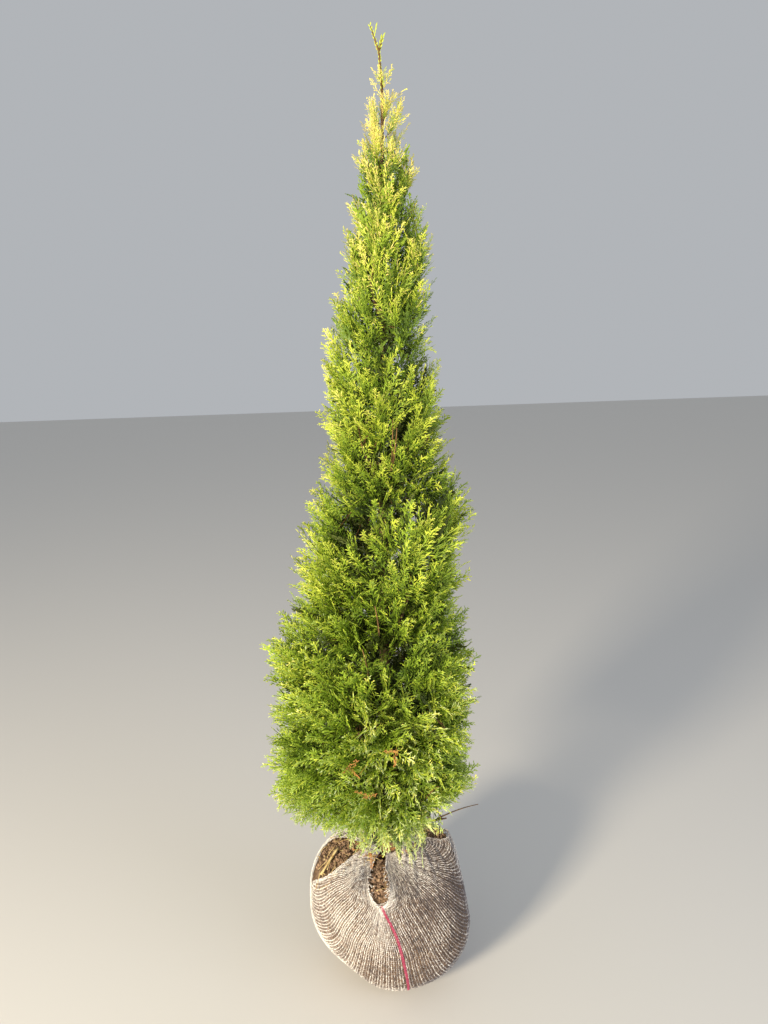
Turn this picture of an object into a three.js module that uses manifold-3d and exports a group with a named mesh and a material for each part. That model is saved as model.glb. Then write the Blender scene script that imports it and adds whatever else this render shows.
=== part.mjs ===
// A young columnar thuja, lifted from the field and standing on its netted root ball.
// Millimetres, +Z up. The origin is the centre of the ball's flat underside. +X is to the right
// of someone who faces the plant from the front, and -Y is the side that faces them.
import * as THREE from "three";
import { mergeVertices } from "three/addons/utils/BufferGeometryUtils.js";
import Module from "manifold-3d";

const wasm = await Module();
wasm.setup();

// Clearance between pieces that touch on the plant.
const GAP = 0.3;
// Points nearer than this are one point. Faces may be moved by the first of these that works.
const WELD = 0.001;
const SMOOTHINGS = [0.1, 0.12, 0.14, 0.16, 0.18, 0.2];
const MASS_SMOOTHING = 0.5;
const LEADER_SMOOTHING = 0.25;

// Root ball: soil in a knitted net, cut flat where it stands. Its side is round below its middle
// and squarer above it (2 would be an ellipse), so that its shoulders stand nearly upright.
const BALL_RADIUS = 145;
const BALL_MIDDLE = 112;
const BALL_HALF_HEIGHT = 130;
const BALL_SQUARENESS = 2.1;
const SHOULDER_SQUARENESS = 3.7;
const BALL_SIDES = 28;
const BALL_RINGS = 8;
// From above it is a rounded square with uneven corners: waves round it as [count, size, start],
// the depth of its four flatter faces with the direction of one corner, and how far its upper
// right side is drawn in. Directions are in radians.
const BALL_WAVES = [[2, 0.06, 3.28], [3, 0.059, 4.21]];
const BALL_FACES = { depth: 0.055, corner: 4.495 };
const BALL_DRAWN_IN = 0.079;
const NET_THICKNESS = 2.4;
const NET_COLLAR_RADIUS = 31;
// The gaps between the net's drawn-up corners: direction in degrees, inner and outer end from
// the middle of the ball, and width.
const NET_GAPS = [
  { turn: 184, inner: 37, outer: 139, width: 80 },
  { turn: 260, inner: 42, outer: 126, width: 38 },
  { turn: 32, inner: 42, outer: 112, width: 60 },
  { turn: 112, inner: 42, outer: 124, width: 60 },
];

// Trunk: from a flat cut on the soil to just under the forked tip.
const TRUNK_FOOT = 238;
const TRUNK_TOP = 1462;
const TRUNK_LEAN = 30;
const TRUNK_SWAY = 5;
const TRUNK_FOOT_RADIUS = 12;
const TRUNK_TOP_RADIUS = 1.9;
const FLARE_WIDTH = 7;
const FLARE_HEIGHT = 22;
const TRUNK_SIDES = 10;
const TRUNK_SEGMENTS = 16;

// How far the crown reaches from the trunk: height, reach to the left, reach to the right.
const REACH = [
  [215, 112, 84],
  [290, 165, 122],
  [350, 200, 154],
  [440, 216, 160],
  [640, 210, 157],
  [700, 174, 142],
  [800, 147, 134],
  [870, 126, 151],
  [930, 98, 114],
  [1040, 101, 99],
  [1130, 91, 80],
  [1240, 63, 80],
  [1330, 52, 56],
  [1410, 36, 44],
  [1450, 22, 32],
  [1500, 9, 12],
];

// The surfaces that part one storey of the crown from the next. They sweep up as the boughs do:
// height at the trunk, rise from there to the outline, and the outline's radius there. Each one
// also tilts: the most that it lifts at the outline, and the direction in degrees where it does.
const PARTINGS = [
  { foot: 266, rise: 56, span: 190, tilt: 40, facing: 250 },
  { foot: 300, rise: 150, span: 190, tilt: 34, facing: 215 },
  { foot: 478, rise: 205, span: 158, tilt: 46, facing: 300 },
  { foot: 775, rise: 138, span: 116, tilt: 38, facing: 60 },
  { foot: 1030, rise: 100, span: 84, tilt: 24, facing: 200 },
  { foot: 1256, rise: 60, span: 50, tilt: 14, facing: 330 },
  { foot: 1440, rise: 32, span: 24, tilt: 0, facing: 0 },
];

// The storeys from the bottom up: how many masses of foliage stand round the trunk, where the
// first one is, how far out the dense heart of each comes as a share of its reach, how many
// sprays stand out of it and how thick its bough is.
const STOREYS = [
  { name: "skirt", masses: 6, turn: 30, heart: 0.84, sprays: 12, bough: 4.6 },
  { name: "lower", masses: 5, turn: 36, heart: 0.88, sprays: 14, bough: 4.4 },
  { name: "middle", masses: 4, turn: 20, heart: 0.88, sprays: 14, bough: 4.0 },
  { name: "shoulder", masses: 4, turn: 65, heart: 0.86, sprays: 12, bough: 3.2 },
  { name: "upper", masses: 3, turn: 10, heart: 0.82, sprays: 14, bough: 2.6 },
  { name: "spire", masses: 3, turn: 70, heart: 0.7, sprays: 12, bough: 0 },
];

const BOUGH_SHARE = 0.3;
const BOUGH_SIDES = 5;
const BOUGH_TAPER = 0.7;
const STEM_END_SHARE = 0.76;
const STEM_SIDES = 4;
const STEM_TAPER = 0.4;
const TWIG_RADIUS = 2;

// The space of a mass is measured across it (-1 to 1), out from the trunk (0 to 1) and up it
// (0 to 1). In it, the dense heart is a block with rounded edges: how far across it comes to each
// side, where its inner face is, its lower and upper end, how square it is (2 would be an
// ellipsoid) and how much its outer face swells and sinks.
const HEART_ACROSS = 0.965;
const HEART_INNER = 0.32;
const HEART_UP = [0.015, 0.985];
const HEART_SQUARENESS = 10;
const HEART_LUMPS = 0.24;
// Sprays root a little inside the heart's outer face, spread over it. Each reaches out and is
// lifted by a share of the mass's reach.
const SPRAY_ROOT = 0.8;
const SPRAY_SPREAD = [0.86, 0.44];
const SPRAY_LIFTS = [-0.08, 0.26];
const SPRAY_SHORTEST = 0.98;
const SPRAY_LONGEST = 1.1;
const SPRAY_WIDTH = 0.62;
const SPRAY_THICKNESS = 0.055;
const SPRAY_HEART = 0.36;
const SPRAY_ROLLS = 5;
const CELL_MARGIN = 1.6;

// The leader's fork at the very top: where it parts, and its two ends. Sprays stand round the
// leader from its foot to the fork, and up each prong.
const FORK = new THREE.Vector3(28, 0, 1490);
const FORK_ENDS = [new THREE.Vector3(18, -3, 1527), new THREE.Vector3(34, 3, 1514)];
const LEADER_SPRAYS = 6;
const LEADER_SPRAY = 30;
const PRONG_SPRAY = 20;

const BARK = { color: 0x7a5a40, roughness: 0.9, metalness: 0 };
const SOIL = { color: 0x5b4434, roughness: 1, metalness: 0 };
const NET = { color: 0xb7ab98, roughness: 0.95, metalness: 0 };
const FOLIAGE = { color: 0x86a82c, roughness: 0.7, metalness: 0 };

const lerp = THREE.MathUtils.lerp;
const UP = new THREE.Vector3(0, 0, 1);
const GOLDEN_SHARE = (Math.sqrt(5) - 1) / 2;

// Random numbers from 0 to 1 that come out the same on every run.
function seeded(seed) {
  let state = seed;
  return () => {
    state = (state * 16807) % 2147483647;
    return state / 2147483647;
  };
}

// Value of one column of a table at a height, straight between its rows.
function tableAt(table, height, column) {
  const last = table.length - 1;
  if (height <= table[0][0]) return table[0][column];
  if (height >= table[last][0]) return table[last][column];
  const row = table.findIndex((entry) => entry[0] > height);
  const [low, high] = [table[row - 1], table[row]];
  return lerp(low[column], high[column], (height - low[0]) / (high[0] - low[0]));
}

// A geometry as a solid: its shared vertices are merged and its flattened triangles dropped.
function solidOf(geometry) {
  const bare = geometry.clone();
  bare.deleteAttribute("normal");
  bare.deleteAttribute("uv");
  const merged = mergeVertices(bare, WELD);
  const corners = merged.index.array;
  const kept = [];
  for (let i = 0; i < corners.length; i += 3) {
    const [a, b, c] = [corners[i], corners[i + 1], corners[i + 2]];
    if (a !== b && b !== c && c !== a) kept.push(a, b, c);
  }
  const mesh = new wasm.Mesh({
    numProp: 3,
    vertProperties: new Float32Array(merged.attributes.position.array),
    triVerts: new Uint32Array(kept),
  });
  return new wasm.Manifold(mesh);
}

// A solid's surface as a geometry.
function surfaceOf(solid) {
  const mesh = solid.getMesh();
  const geometry = new THREE.BufferGeometry();
  geometry.setAttribute("position", new THREE.BufferAttribute(mesh.vertProperties, 3));
  geometry.setIndex(new THREE.BufferAttribute(mesh.triVerts, 1));
  return geometry;
}

// A solid as a named mesh.
function nodeOf(name, solid, look) {
  const geometry = surfaceOf(solid);
  geometry.computeVertexNormals();
  const node = new THREE.Mesh(geometry, new THREE.MeshStandardMaterial(look));
  node.name = name;
  return node;
}

// Whether every edge of a surface is shared by two faces only, by the place of its two ends.
function isSound(surface) {
  const points = surface.attributes.position;
  const corners = surface.index.array;
  const places = Array.from({ length: points.count }, (_, i) => (
    [points.getX(i), points.getY(i), points.getZ(i)].map((value) => value.toFixed(3)).join()
  ));
  const uses = new Map();
  corners.forEach((corner, i) => {
    const next = corners[i % 3 === 2 ? i - 2 : i + 1];
    const edge = [places[corner], places[next]].sort().join();
    uses.set(edge, (uses.get(edge) ?? 0) + 1);
  });
  return [...uses.values()].every((count) => count === 2);
}

// The largest body of a solid, so that a loose scrap left by a cut is dropped and a sealed hollow
// is filled. Slivers of faces are smoothed away, a little more where two sheets would still touch.
function largestBody(solid) {
  for (const smoothing of SMOOTHINGS) {
    const bodies = solidOf(surfaceOf(solid.simplify(smoothing))).decompose();
    const largest = bodies.reduce((best, body) => (body.volume() > best.volume() ? body : best));
    if (isSound(surfaceOf(largest))) return largest;
  }
  throw new Error("no smoothing leaves this solid sound");
}

// A round limb through the given points: a cylinder whose rings are moved onto them.
function limb(points, radii, sides) {
  const segments = points.length - 1;
  const geometry = new THREE.CylinderGeometry(1, 1, 1, sides, segments);
  const position = geometry.attributes.position;
  const frames = points.map((point, i) => {
    const before = points[Math.max(i - 1, 0)];
    const after = points[Math.min(i + 1, segments)];
    const along = after.clone().sub(before).normalize();
    const side = Math.abs(along.z) > 0.99 ? new THREE.Vector3(1, 0, 0) : UP;
    const across = new THREE.Vector3().crossVectors(side, along).normalize();
    return { across, over: new THREE.Vector3().crossVectors(along, across) };
  });
  const moved = new THREE.Vector3();
  for (let i = 0; i < position.count; i++) {
    const ring = Math.round((position.getY(i) + 0.5) * segments);
    moved.copy(points[ring]);
    moved.addScaledVector(frames[ring].across, position.getZ(i) * radii[ring]);
    moved.addScaledVector(frames[ring].over, position.getX(i) * radii[ring]);
    position.setXYZ(i, moved.x, moved.y, moved.z);
  }
  return solidOf(geometry);
}

// Middle of the trunk at a height.
function trunkAt(height) {
  const share = Math.max(0, (height - TRUNK_FOOT) / (TRUNK_TOP - TRUNK_FOOT));
  return new THREE.Vector3(
    TRUNK_LEAN * share ** 1.5,
    -TRUNK_SWAY * Math.sin(Math.PI * share),
    height,
  );
}

// Radius of the trunk at a height, with the flare over its foot.
function trunkRadius(height) {
  const share = THREE.MathUtils.clamp((height - TRUNK_FOOT) / (TRUNK_TOP - TRUNK_FOOT), 0, 1);
  const flare = FLARE_WIDTH * Math.exp(-(height - TRUNK_FOOT) / FLARE_HEIGHT);
  return lerp(TRUNK_FOOT_RADIUS, TRUNK_TOP_RADIUS, share ** 0.9) + flare;
}

// The trunk, or the same shape grown by a clearance.
function trunkSolid(clearance) {
  const points = [];
  const radii = [];
  for (let i = 0; i <= TRUNK_SEGMENTS; i++) {
    const height = lerp(TRUNK_FOOT + GAP, TRUNK_TOP, (i / TRUNK_SEGMENTS) ** 1.6);
    points.push(trunkAt(height));
    radii.push(trunkRadius(height) + clearance);
  }
  return limb(points, radii, TRUNK_SIDES);
}

// The ball of soil and net, drawn in by an inset.
function ballSolid(inset) {
  const height = BALL_HALF_HEIGHT - inset;
  const floorAngle = -Math.asin(((BALL_MIDDLE - inset) / height) ** (BALL_SQUARENESS / 2));
  const profile = [new THREE.Vector2(0, inset)];
  for (let i = 0; i < BALL_RINGS; i++) {
    const angle = lerp(floorAngle, Math.PI / 2, i / BALL_RINGS);
    const power = 2 / (angle > 0 ? SHOULDER_SQUARENESS : BALL_SQUARENESS);
    const rise = Math.sign(angle) * Math.abs(Math.sin(angle)) ** power;
    const radius = (BALL_RADIUS - inset) * Math.cos(angle) ** power;
    profile.push(new THREE.Vector2(radius, BALL_MIDDLE + rise * height));
  }
  profile.push(new THREE.Vector2(0, BALL_MIDDLE + height));
  const geometry = new THREE.LatheGeometry(profile, BALL_SIDES);
  geometry.rotateX(Math.PI / 2);
  const position = geometry.attributes.position;
  for (let i = 0; i < position.count; i++) {
    const [x, y, z] = [position.getX(i), position.getY(i), position.getZ(i)];
    const swell = ballSwell(Math.atan2(y, x), z);
    position.setXYZ(i, x * swell, y * swell, z);
  }
  return solidOf(geometry);
}

// How much wider the ball is in a direction at a height. Its corners are fullest below its middle
// and fade towards its top.
function ballSwell(turn, height) {
  const above = (height - BALL_MIDDLE) / BALL_HALF_HEIGHT;
  const waves = BALL_WAVES.map(([count, size, start]) => size * Math.sin(count * turn + start));
  const faces = BALL_FACES.depth * (1 - Math.cos(4 * (turn - BALL_FACES.corner)));
  const shape = waves.reduce((sum, wave) => sum + wave, 0) - faces;
  const drawn = BALL_DRAWN_IN * THREE.MathUtils.clamp(1.7 * above, 0, 1);
  return 1 + Math.min(1, 1 - above) * shape - drawn * Math.max(0, Math.cos(turn)) ** 2;
}

// An upright prism over one gap in the net: a leaf shape that points away from the trunk.
function netGapCutter(gap) {
  const shape = new THREE.Shape();
  const middle = (gap.inner + gap.outer) / 2;
  shape.moveTo(gap.inner, 0);
  shape.quadraticCurveTo(middle, -gap.width, gap.outer, 0);
  shape.quadraticCurveTo(middle, gap.width, gap.inner, 0);
  const depth = BALL_HALF_HEIGHT;
  const geometry = new THREE.ExtrudeGeometry(shape, { depth, bevelEnabled: false, curveSegments: 7 });
  geometry.rotateZ(THREE.MathUtils.degToRad(gap.turn));
  geometry.translate(0, 0, BALL_MIDDLE + 20);
  return solidOf(geometry);
}

// The net: a thin shell round the soil, with a collar for the trunk and the gaps between its corners.
function netSolid() {
  const collar = new THREE.CylinderGeometry(
    NET_COLLAR_RADIUS, NET_COLLAR_RADIUS, BALL_HALF_HEIGHT, 16,
  );
  collar.rotateX(Math.PI / 2);
  collar.translate(0, 0, BALL_MIDDLE + BALL_HALF_HEIGHT);
  const shell = ballSolid(0).subtract(ballSolid(NET_THICKNESS)).subtract(solidOf(collar));
  return largestBody(NET_GAPS.reduce((net, gap) => net.subtract(netGapCutter(gap)), shell));
}

// The soil inside the net, cut flat where the trunk stands on it.
function soilSolid() {
  const top = new THREE.BoxGeometry(4 * BALL_RADIUS, 4 * BALL_RADIUS, BALL_RADIUS);
  top.translate(0, 0, TRUNK_FOOT + BALL_RADIUS / 2);
  return ballSolid(NET_THICKNESS + GAP).subtract(solidOf(top));
}

// Height of a parting surface at a distance and direction from the trunk.
function partingHeight(parting, radius, turn) {
  const share = radius / parting.span;
  const lift = parting.tilt * share * Math.cos(turn - THREE.MathUtils.degToRad(parting.facing));
  return parting.foot + parting.rise * (0.6 * share + 0.4 * share * share) + lift;
}

// The space of one mass: a sector of its storey, between two partings and inside the outline.
function cellOf(storey, level, index) {
  const half = Math.PI / storey.masses;
  const centre = THREE.MathUtils.degToRad(storey.turn) + index * 2 * half;
  const random = seeded(1009 + 211 * level + 37 * index);
  const swell = lerp(0.95, 1.02, random());
  const [floor, roof] = [PARTINGS[level], PARTINGS[level + 1]];
  return { storey, floor, roof, centre, half, swell, phase: random(), random };
}

function heightIn(cell, across, radius, up) {
  const turn = cell.centre + across * cell.half;
  return lerp(partingHeight(cell.floor, radius, turn), partingHeight(cell.roof, radius, turn), up);
}

// How far the mass reaches from the trunk, across and up its space. Each mass bulges a little.
function reachIn(cell, across, up) {
  const turn = cell.centre + across * cell.half;
  const bulge = cell.swell * (1 - 0.07 * across * across);
  let radius = cell.floor.span;
  for (let i = 0; i < 14; i++) {
    const height = heightIn(cell, across, radius, up);
    const [left, right] = [tableAt(REACH, height, 1), tableAt(REACH, height, 2)];
    const reach = bulge * ((left + right) / 2 + ((right - left) / 2) * Math.cos(turn));
    radius = (radius + reach) / 2;
  }
  return radius;
}

// A point of the mass's space: across it (-1 to 1), out (0 at the trunk, 1 at the outline), up it (0 to 1).
function placeIn(cell, [across, out, up]) {
  const radius = out * reachIn(cell, across, up);
  const height = heightIn(cell, across, radius, up);
  const turn = cell.centre + across * cell.half;
  const trunk = trunkAt(height);
  return trunk.add(new THREE.Vector3(radius * Math.cos(turn), radius * Math.sin(turn), 0));
}

function between(from, to, share) {
  return from.map((value, i) => lerp(value, to[i], share));
}

// Outline of a spray as [along it, across it]: a toothed blade like a small flat fan.
const LONG_SPRAY = [
  [0, 0.05], [0.42, 0.48], [0.5, 0.2], [0.78, 0.36], [1, 0],
  [0.7, -0.4], [0.55, -0.18], [0.36, -0.5], [0, -0.05],
];
const SHORT_SPRAY = [
  [0, 0.06], [0.5, 0.5], [0.6, 0.18], [1, 0], [0.55, -0.18], [0.44, -0.5], [0, -0.06],
];

// A blade from its outline's points and the middle of its two faces.
function bladeSolid(outline, heart, thickness) {
  const normal = new THREE.Vector3();
  outline.forEach((point, i) => {
    const next = outline[(i + 1) % outline.length];
    const turn = new THREE.Vector3().crossVectors(point.clone().sub(heart), next.clone().sub(heart));
    normal.add(turn);
  });
  normal.normalize().multiplyScalar(thickness / 2);
  const corners = [...outline, heart.clone().add(normal), heart.clone().sub(normal)];
  const [over, under] = [outline.length, outline.length + 1];
  const faces = outline.flatMap((_, i) => {
    const next = (i + 1) % outline.length;
    return [over, i, next, under, next, i];
  });
  const geometry = new THREE.BufferGeometry().setFromPoints(corners);
  geometry.setIndex(faces);
  return solidOf(geometry);
}

// A spray from root to tip, rolled about its own line, or null where it would leave the mass's space.
function spraySolid(cell, root, tip, roll, outline) {
  const length = placeIn(cell, root).distanceTo(placeIn(cell, tip));
  const width = length * SPRAY_WIDTH;
  const inside = { all: true };
  const at = ([along, side]) => {
    const [across, out, up] = between(root, tip, along);
    const radius = out * reachIn(cell, across, up);
    const depth = heightIn(cell, across, radius, 1) - heightIn(cell, across, radius, 0);
    const arc = radius * cell.half;
    const moved = [
      across + (side * width * Math.cos(roll)) / arc,
      out,
      up + (side * width * Math.sin(roll)) / depth,
    ];
    const edge = Math.min((1 - Math.abs(moved[0])) * arc, moved[2] * depth, (1 - moved[2]) * depth);
    if (edge < CELL_MARGIN) inside.all = false;
    return placeIn(cell, moved);
  };
  const corners = outline.map(at);
  const heart = at([SPRAY_HEART, 0]);
  return inside.all ? bladeSolid(corners, heart, length * SPRAY_THICKNESS) : null;
}

// How far out the heart's outer face is at a place across and up it, or a share of that.
function heartFace(cell, across, up, share) {
  const rise = (2 * (up - HEART_UP[0])) / (HEART_UP[1] - HEART_UP[0]) - 1;
  const used = Math.abs(across / HEART_ACROSS) ** HEART_SQUARENESS + Math.abs(rise) ** HEART_SQUARENESS;
  const rounding = Math.max(0.1, 1 - used) ** (1 / HEART_SQUARENESS);
  const lump = 0.5 + 0.5 * Math.sin(4.1 * across + 9.5 * up + 6.3 * cell.phase);
  return lerp(HEART_INNER, cell.storey.heart, share * rounding * (1 - HEART_LUMPS * lump));
}

// The dense heart of a mass: a block of its space with rounded edges and a lumpy outer face.
function heartSolid(cell) {
  const geometry = new THREE.BoxGeometry(2, 2, 2, 1, 2, 3);
  const position = geometry.attributes.position;
  for (let i = 0; i < position.count; i++) {
    const corner = [position.getX(i), position.getY(i), position.getZ(i)];
    const powers = corner.map((value) => Math.abs(value) ** HEART_SQUARENESS);
    const rounding = (powers[0] + powers[1] + powers[2]) ** (-1 / HEART_SQUARENESS);
    const across = corner[1] * rounding * HEART_ACROSS;
    const up = lerp(...HEART_UP, (corner[2] * rounding + 1) / 2);
    const out = corner[0] > 0 ? heartFace(cell, across, up, 1) : HEART_INNER;
    const point = placeIn(cell, [across, out, up]);
    position.setXYZ(i, point.x, point.y, point.z);
  }
  return solidOf(geometry);
}

// A tapered limb on the line that a mass's bough and stem follow, between two shares of the reach.
function limbIn(cell, from, to, radii, sides, clearance) {
  const points = [0, 1, 2, 3].map((i) => placeIn(cell, [0, lerp(from, to, i / 3), 0.5]));
  return limb(points, points.map((_, i) => lerp(...radii, i / 3) + clearance), sides);
}

// The bough of a mass, from the middle of the trunk, or the same shape grown by a clearance.
function boughShape(cell, clearance) {
  const thick = cell.storey.bough;
  const reach = placeIn(cell, [0, 1, 0.5]).distanceTo(placeIn(cell, [0, 0, 0.5]));
  const end = BOUGH_SHARE + clearance / reach;
  return limbIn(cell, 0, end, [thick, thick * BOUGH_TAPER], BOUGH_SIDES, clearance);
}

// One mass of foliage: its stem runs from its bough's tip into the dense heart, and sprays stand
// out of the heart's outer face, swept up and out. It is cut clear of the trunk and the bough.
function massSolid(cell, grownTrunk) {
  const { storey, random } = cell;
  const thick = storey.bough ? storey.bough * BOUGH_TAPER : TWIG_RADIUS;
  const start = storey.bough ? BOUGH_SHARE - 0.01 : 0;
  const pieces = [
    limbIn(cell, start, STEM_END_SHARE, [thick, thick * STEM_TAPER], STEM_SIDES, 0),
    heartSolid(cell),
  ];
  for (let i = 0; i < storey.sprays; i++) {
    const across = SPRAY_SPREAD[0] * (2 * ((i * GOLDEN_SHARE + cell.phase) % 1) - 1);
    const up = 0.5 + SPRAY_SPREAD[1] * (2 * ((i + 0.5) / storey.sprays) - 1);
    const root = [across, heartFace(cell, across, up, SPRAY_ROOT), up];
    const reach = reachIn(cell, across, up);
    const depth = heightIn(cell, across, reach, 1) - heightIn(cell, across, reach, 0);
    const tip = [
      THREE.MathUtils.clamp(across + lerp(-0.15, 0.15, random()), -0.9, 0.9),
      lerp(SPRAY_SHORTEST, SPRAY_LONGEST, random()),
      THREE.MathUtils.clamp(up + (lerp(...SPRAY_LIFTS, random()) * reach) / depth, 0.05, 0.95),
    ];
    pieces.push(fittingSpray(cell, root, tip, i % 4 ? SHORT_SPRAY : LONG_SPRAY));
  }
  const whole = pieces.filter(Boolean).reduce((mass, piece) => mass.add(piece));
  const clear = whole.simplify(MASS_SMOOTHING).subtract(grownTrunk);
  return largestBody(storey.bough ? clear.subtract(boughShape(cell, GAP)) : clear);
}

// A spray at the first roll that keeps it in the mass's space, or null where none does.
function fittingSpray(cell, root, tip, outline) {
  const first = cell.random() * Math.PI;
  for (let i = 0; i < SPRAY_ROLLS; i++) {
    const spray = spraySolid(cell, root, tip, first + (i * Math.PI) / SPRAY_ROLLS, outline);
    if (spray) return spray;
  }
  return null;
}

// The forked tip of the leader, with its own small sprays.
function leaderSolid() {
  const foot = trunkAt(TRUNK_TOP);
  foot.z += GAP;
  const pieces = FORK_ENDS.map((end) => (
    limb([foot, FORK, end], [TRUNK_TOP_RADIUS, 1.6, 0.8], STEM_SIDES)
  ));
  FORK_ENDS.forEach((end, prong) => {
    const along = end.clone().sub(FORK).normalize();
    pieces.push(leaderSpray(FORK.clone().lerp(end, 0.9), along, prong + 0.3, 0, PRONG_SPRAY));
    pieces.push(leaderSpray(FORK.clone().lerp(end, 0.4), along, prong + 2.4, 0.6, PRONG_SPRAY));
  });
  for (let i = 0; i < LEADER_SPRAYS; i++) {
    const root = foot.clone().lerp(FORK, 0.1 + (0.8 * i) / LEADER_SPRAYS);
    const length = lerp(LEADER_SPRAY, PRONG_SPRAY, i / LEADER_SPRAYS);
    pieces.push(leaderSpray(root, UP, 2.4 * i, 0.55, length));
  }
  return largestBody(pieces.reduce((tip, piece) => tip.add(piece)).simplify(LEADER_SMOOTHING));
}

// A small spray on the leader: it leans away from the leader's line towards one side.
function leaderSpray(root, line, turn, lean, length) {
  const away = new THREE.Vector3(Math.cos(turn), Math.sin(turn), 0);
  const along = line.clone().addScaledVector(away, lean).normalize();
  const across = new THREE.Vector3(-away.y, away.x, 0);
  const at = ([share, wide]) => root.clone()
    .addScaledVector(along, share * length)
    .addScaledVector(across, wide * length * SPRAY_WIDTH);
  return bladeSolid(SHORT_SPRAY.map(at), at([SPRAY_HEART, 0]), length * 2 * SPRAY_THICKNESS);
}

const thuja = new THREE.Group();
const grownTrunk = trunkSolid(GAP);
thuja.add(nodeOf("root_ball_net", netSolid(), NET));
thuja.add(nodeOf("root_ball_soil", soilSolid(), SOIL));
thuja.add(nodeOf("trunk", trunkSolid(0), BARK));
STOREYS.forEach((storey, level) => {
  for (let index = 0; index < storey.masses; index++) {
    const cell = cellOf(storey, level, index);
    const label = `${storey.name}_${index + 1}`;
    if (storey.bough) {
      const bough = largestBody(boughShape(cell, 0).subtract(grownTrunk));
      thuja.add(nodeOf(`bough_${label}`, bough, BARK));
    }
    thuja.add(nodeOf(`foliage_${label}`, massSolid(cell, grownTrunk), FOLIAGE));
  }
});
thuja.add(nodeOf("foliage_leader_tip", leaderSolid(), FOLIAGE));

export default thuja;
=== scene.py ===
"""Looks of a young thuja on its netted root ball: sprays, twigs, bark, soil and net."""
import math

import bpy
import numpy as np
from mathutils import Matrix


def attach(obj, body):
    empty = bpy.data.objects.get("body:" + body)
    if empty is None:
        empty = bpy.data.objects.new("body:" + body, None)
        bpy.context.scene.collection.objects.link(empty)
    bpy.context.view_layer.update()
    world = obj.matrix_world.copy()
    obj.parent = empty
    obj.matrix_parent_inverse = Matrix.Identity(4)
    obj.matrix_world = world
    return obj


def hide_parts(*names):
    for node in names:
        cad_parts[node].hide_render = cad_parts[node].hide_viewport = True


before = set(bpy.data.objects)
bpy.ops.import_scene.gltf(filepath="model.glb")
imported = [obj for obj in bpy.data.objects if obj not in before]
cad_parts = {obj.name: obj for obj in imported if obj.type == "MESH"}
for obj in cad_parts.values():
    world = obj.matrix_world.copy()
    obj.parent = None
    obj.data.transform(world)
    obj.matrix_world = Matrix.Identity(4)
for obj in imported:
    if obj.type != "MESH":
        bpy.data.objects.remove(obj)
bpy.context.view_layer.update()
scene = bpy.context.scene
NODES = sorted(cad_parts)
FOLIAGE_NODES = [name for name in NODES if name.startswith("foliage_")]
LIMB_NODES = ["trunk"] + [name for name in NODES if name.startswith("bough_")]

# Sizes are in millimetres and directions in degrees. The limbs' sizes repeat the source's values,
# so that the sprays grow on the source's limbs.
TRUNK_FOOT = 238
TRUNK_TOP = 1462
TRUNK_LEAN = 30
TRUNK_SWAY = 5
TRUNK_FOOT_RADIUS = 12
TRUNK_TOP_RADIUS = 1.9
FLARE_WIDTH = 7
FLARE_HEIGHT = 22
BOUGH_TAPER = 0.7
STEM_END = 0.76

# Height, reach to the left and reach to the right.
REACH = np.array([
    [215, 112, 84], [290, 165, 122], [350, 200, 154], [440, 216, 160], [640, 210, 157],
    [700, 174, 142], [800, 147, 134], [870, 126, 151], [930, 98, 114], [1040, 101, 99],
    [1130, 91, 80], [1240, 63, 80], [1330, 52, 56], [1410, 36, 44], [1450, 22, 32],
    [1500, 9, 12],
], float)

# Height at the trunk, rise, span, tilt and the direction of the tilt.
PARTINGS = np.array([
    [266, 56, 190, 40, 250], [300, 150, 190, 34, 215], [478, 205, 158, 46, 300],
    [775, 138, 116, 38, 60], [1030, 100, 84, 24, 200], [1256, 60, 50, 14, 330],
    [1440, 32, 24, 0, 0],
], float)

# Number of masses, direction of the first and the bough's radius at the trunk, from the skirt up
# to the spire, which has none.
STOREYS = [(6, 30, 4.6), (5, 36, 4.4), (4, 20, 4.0), (4, 65, 3.2), (3, 10, 2.6), (3, 70, 0)]
FORK = np.array([27, 0, 1508], float)
FORK_ENDS = np.array([[16.5, -3, 1539], [32.5, 3, 1527]], float)
GOLDEN_SHARE = (math.sqrt(5) - 1) / 2
UP = np.array([0.0, 0.0, 1.0])
FRONT = np.array([0.0, -1.0, 0.0])

# The sprays: the face of a mass that each twig fills, in square millimetres, the share of it that
# is enough in the skirt, the sprays on a twig, inside the crown and on the leader, the length from
# which a spray is of a long kind, the most blades in a piece, and twice the least area of a face.
TWIG_PATCH = 2900
SKIRT_PATCH_SHARE = 0.8
TWIG_SPRAYS = 11
INNER_SPRAYS = 1600
LEADER_SPRAYS = 84
LONG_SPRAY = 52
MOST_BLADES = 48000
LEAST_FACE = 0.001

# Height, and the angle above level at which sprays grow there.
GROWTH_RISE = np.array([
    [240, -60], [300, -50], [350, -34], [430, -6], [520, 20], [700, 42], [1100, 54], [1350, 64],
    [1500, 76],
], float)

# Direction, and how far above the skirt's floor the lowest sprays end there.
HEM = np.array([
    [0, 97], [20, 50], [40, 10], [60, 6], [120, 6], [150, 20], [180, 38], [210, 32], [225, 22],
    [240, 34], [250, 26], [258, -2], [265, 14], [274, 16], [283, -18], [291, -18], [298, 42],
    [308, 94], [330, 110], [360, 97],
], float)

# Share of the older sprays inside, and the height that they fill the crown up to.
INNER_HEIGHTS = np.array([[0, 262], [0.12, 330], [0.43, 640], [0.69, 1000], [1, 1390]])

# Bare stems that show between the sprays, each from its foot to its head. One head stands out of
# the crown, further to the right than the others are let.
FREE_STEM_FROM = 150
BARE_STEMS = np.array([
    [26, -92, 940, 31, -108, 1016], [29, -90, 950, 37, -106, 1004], [84, -40, 318, 158, -20, 330],
    [-20, -138, 632, -27, -148, 690], [66, -118, 412, 88, -146, 448],
    [-2, -128, 700, -6, -138, 752],
], float)

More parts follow.
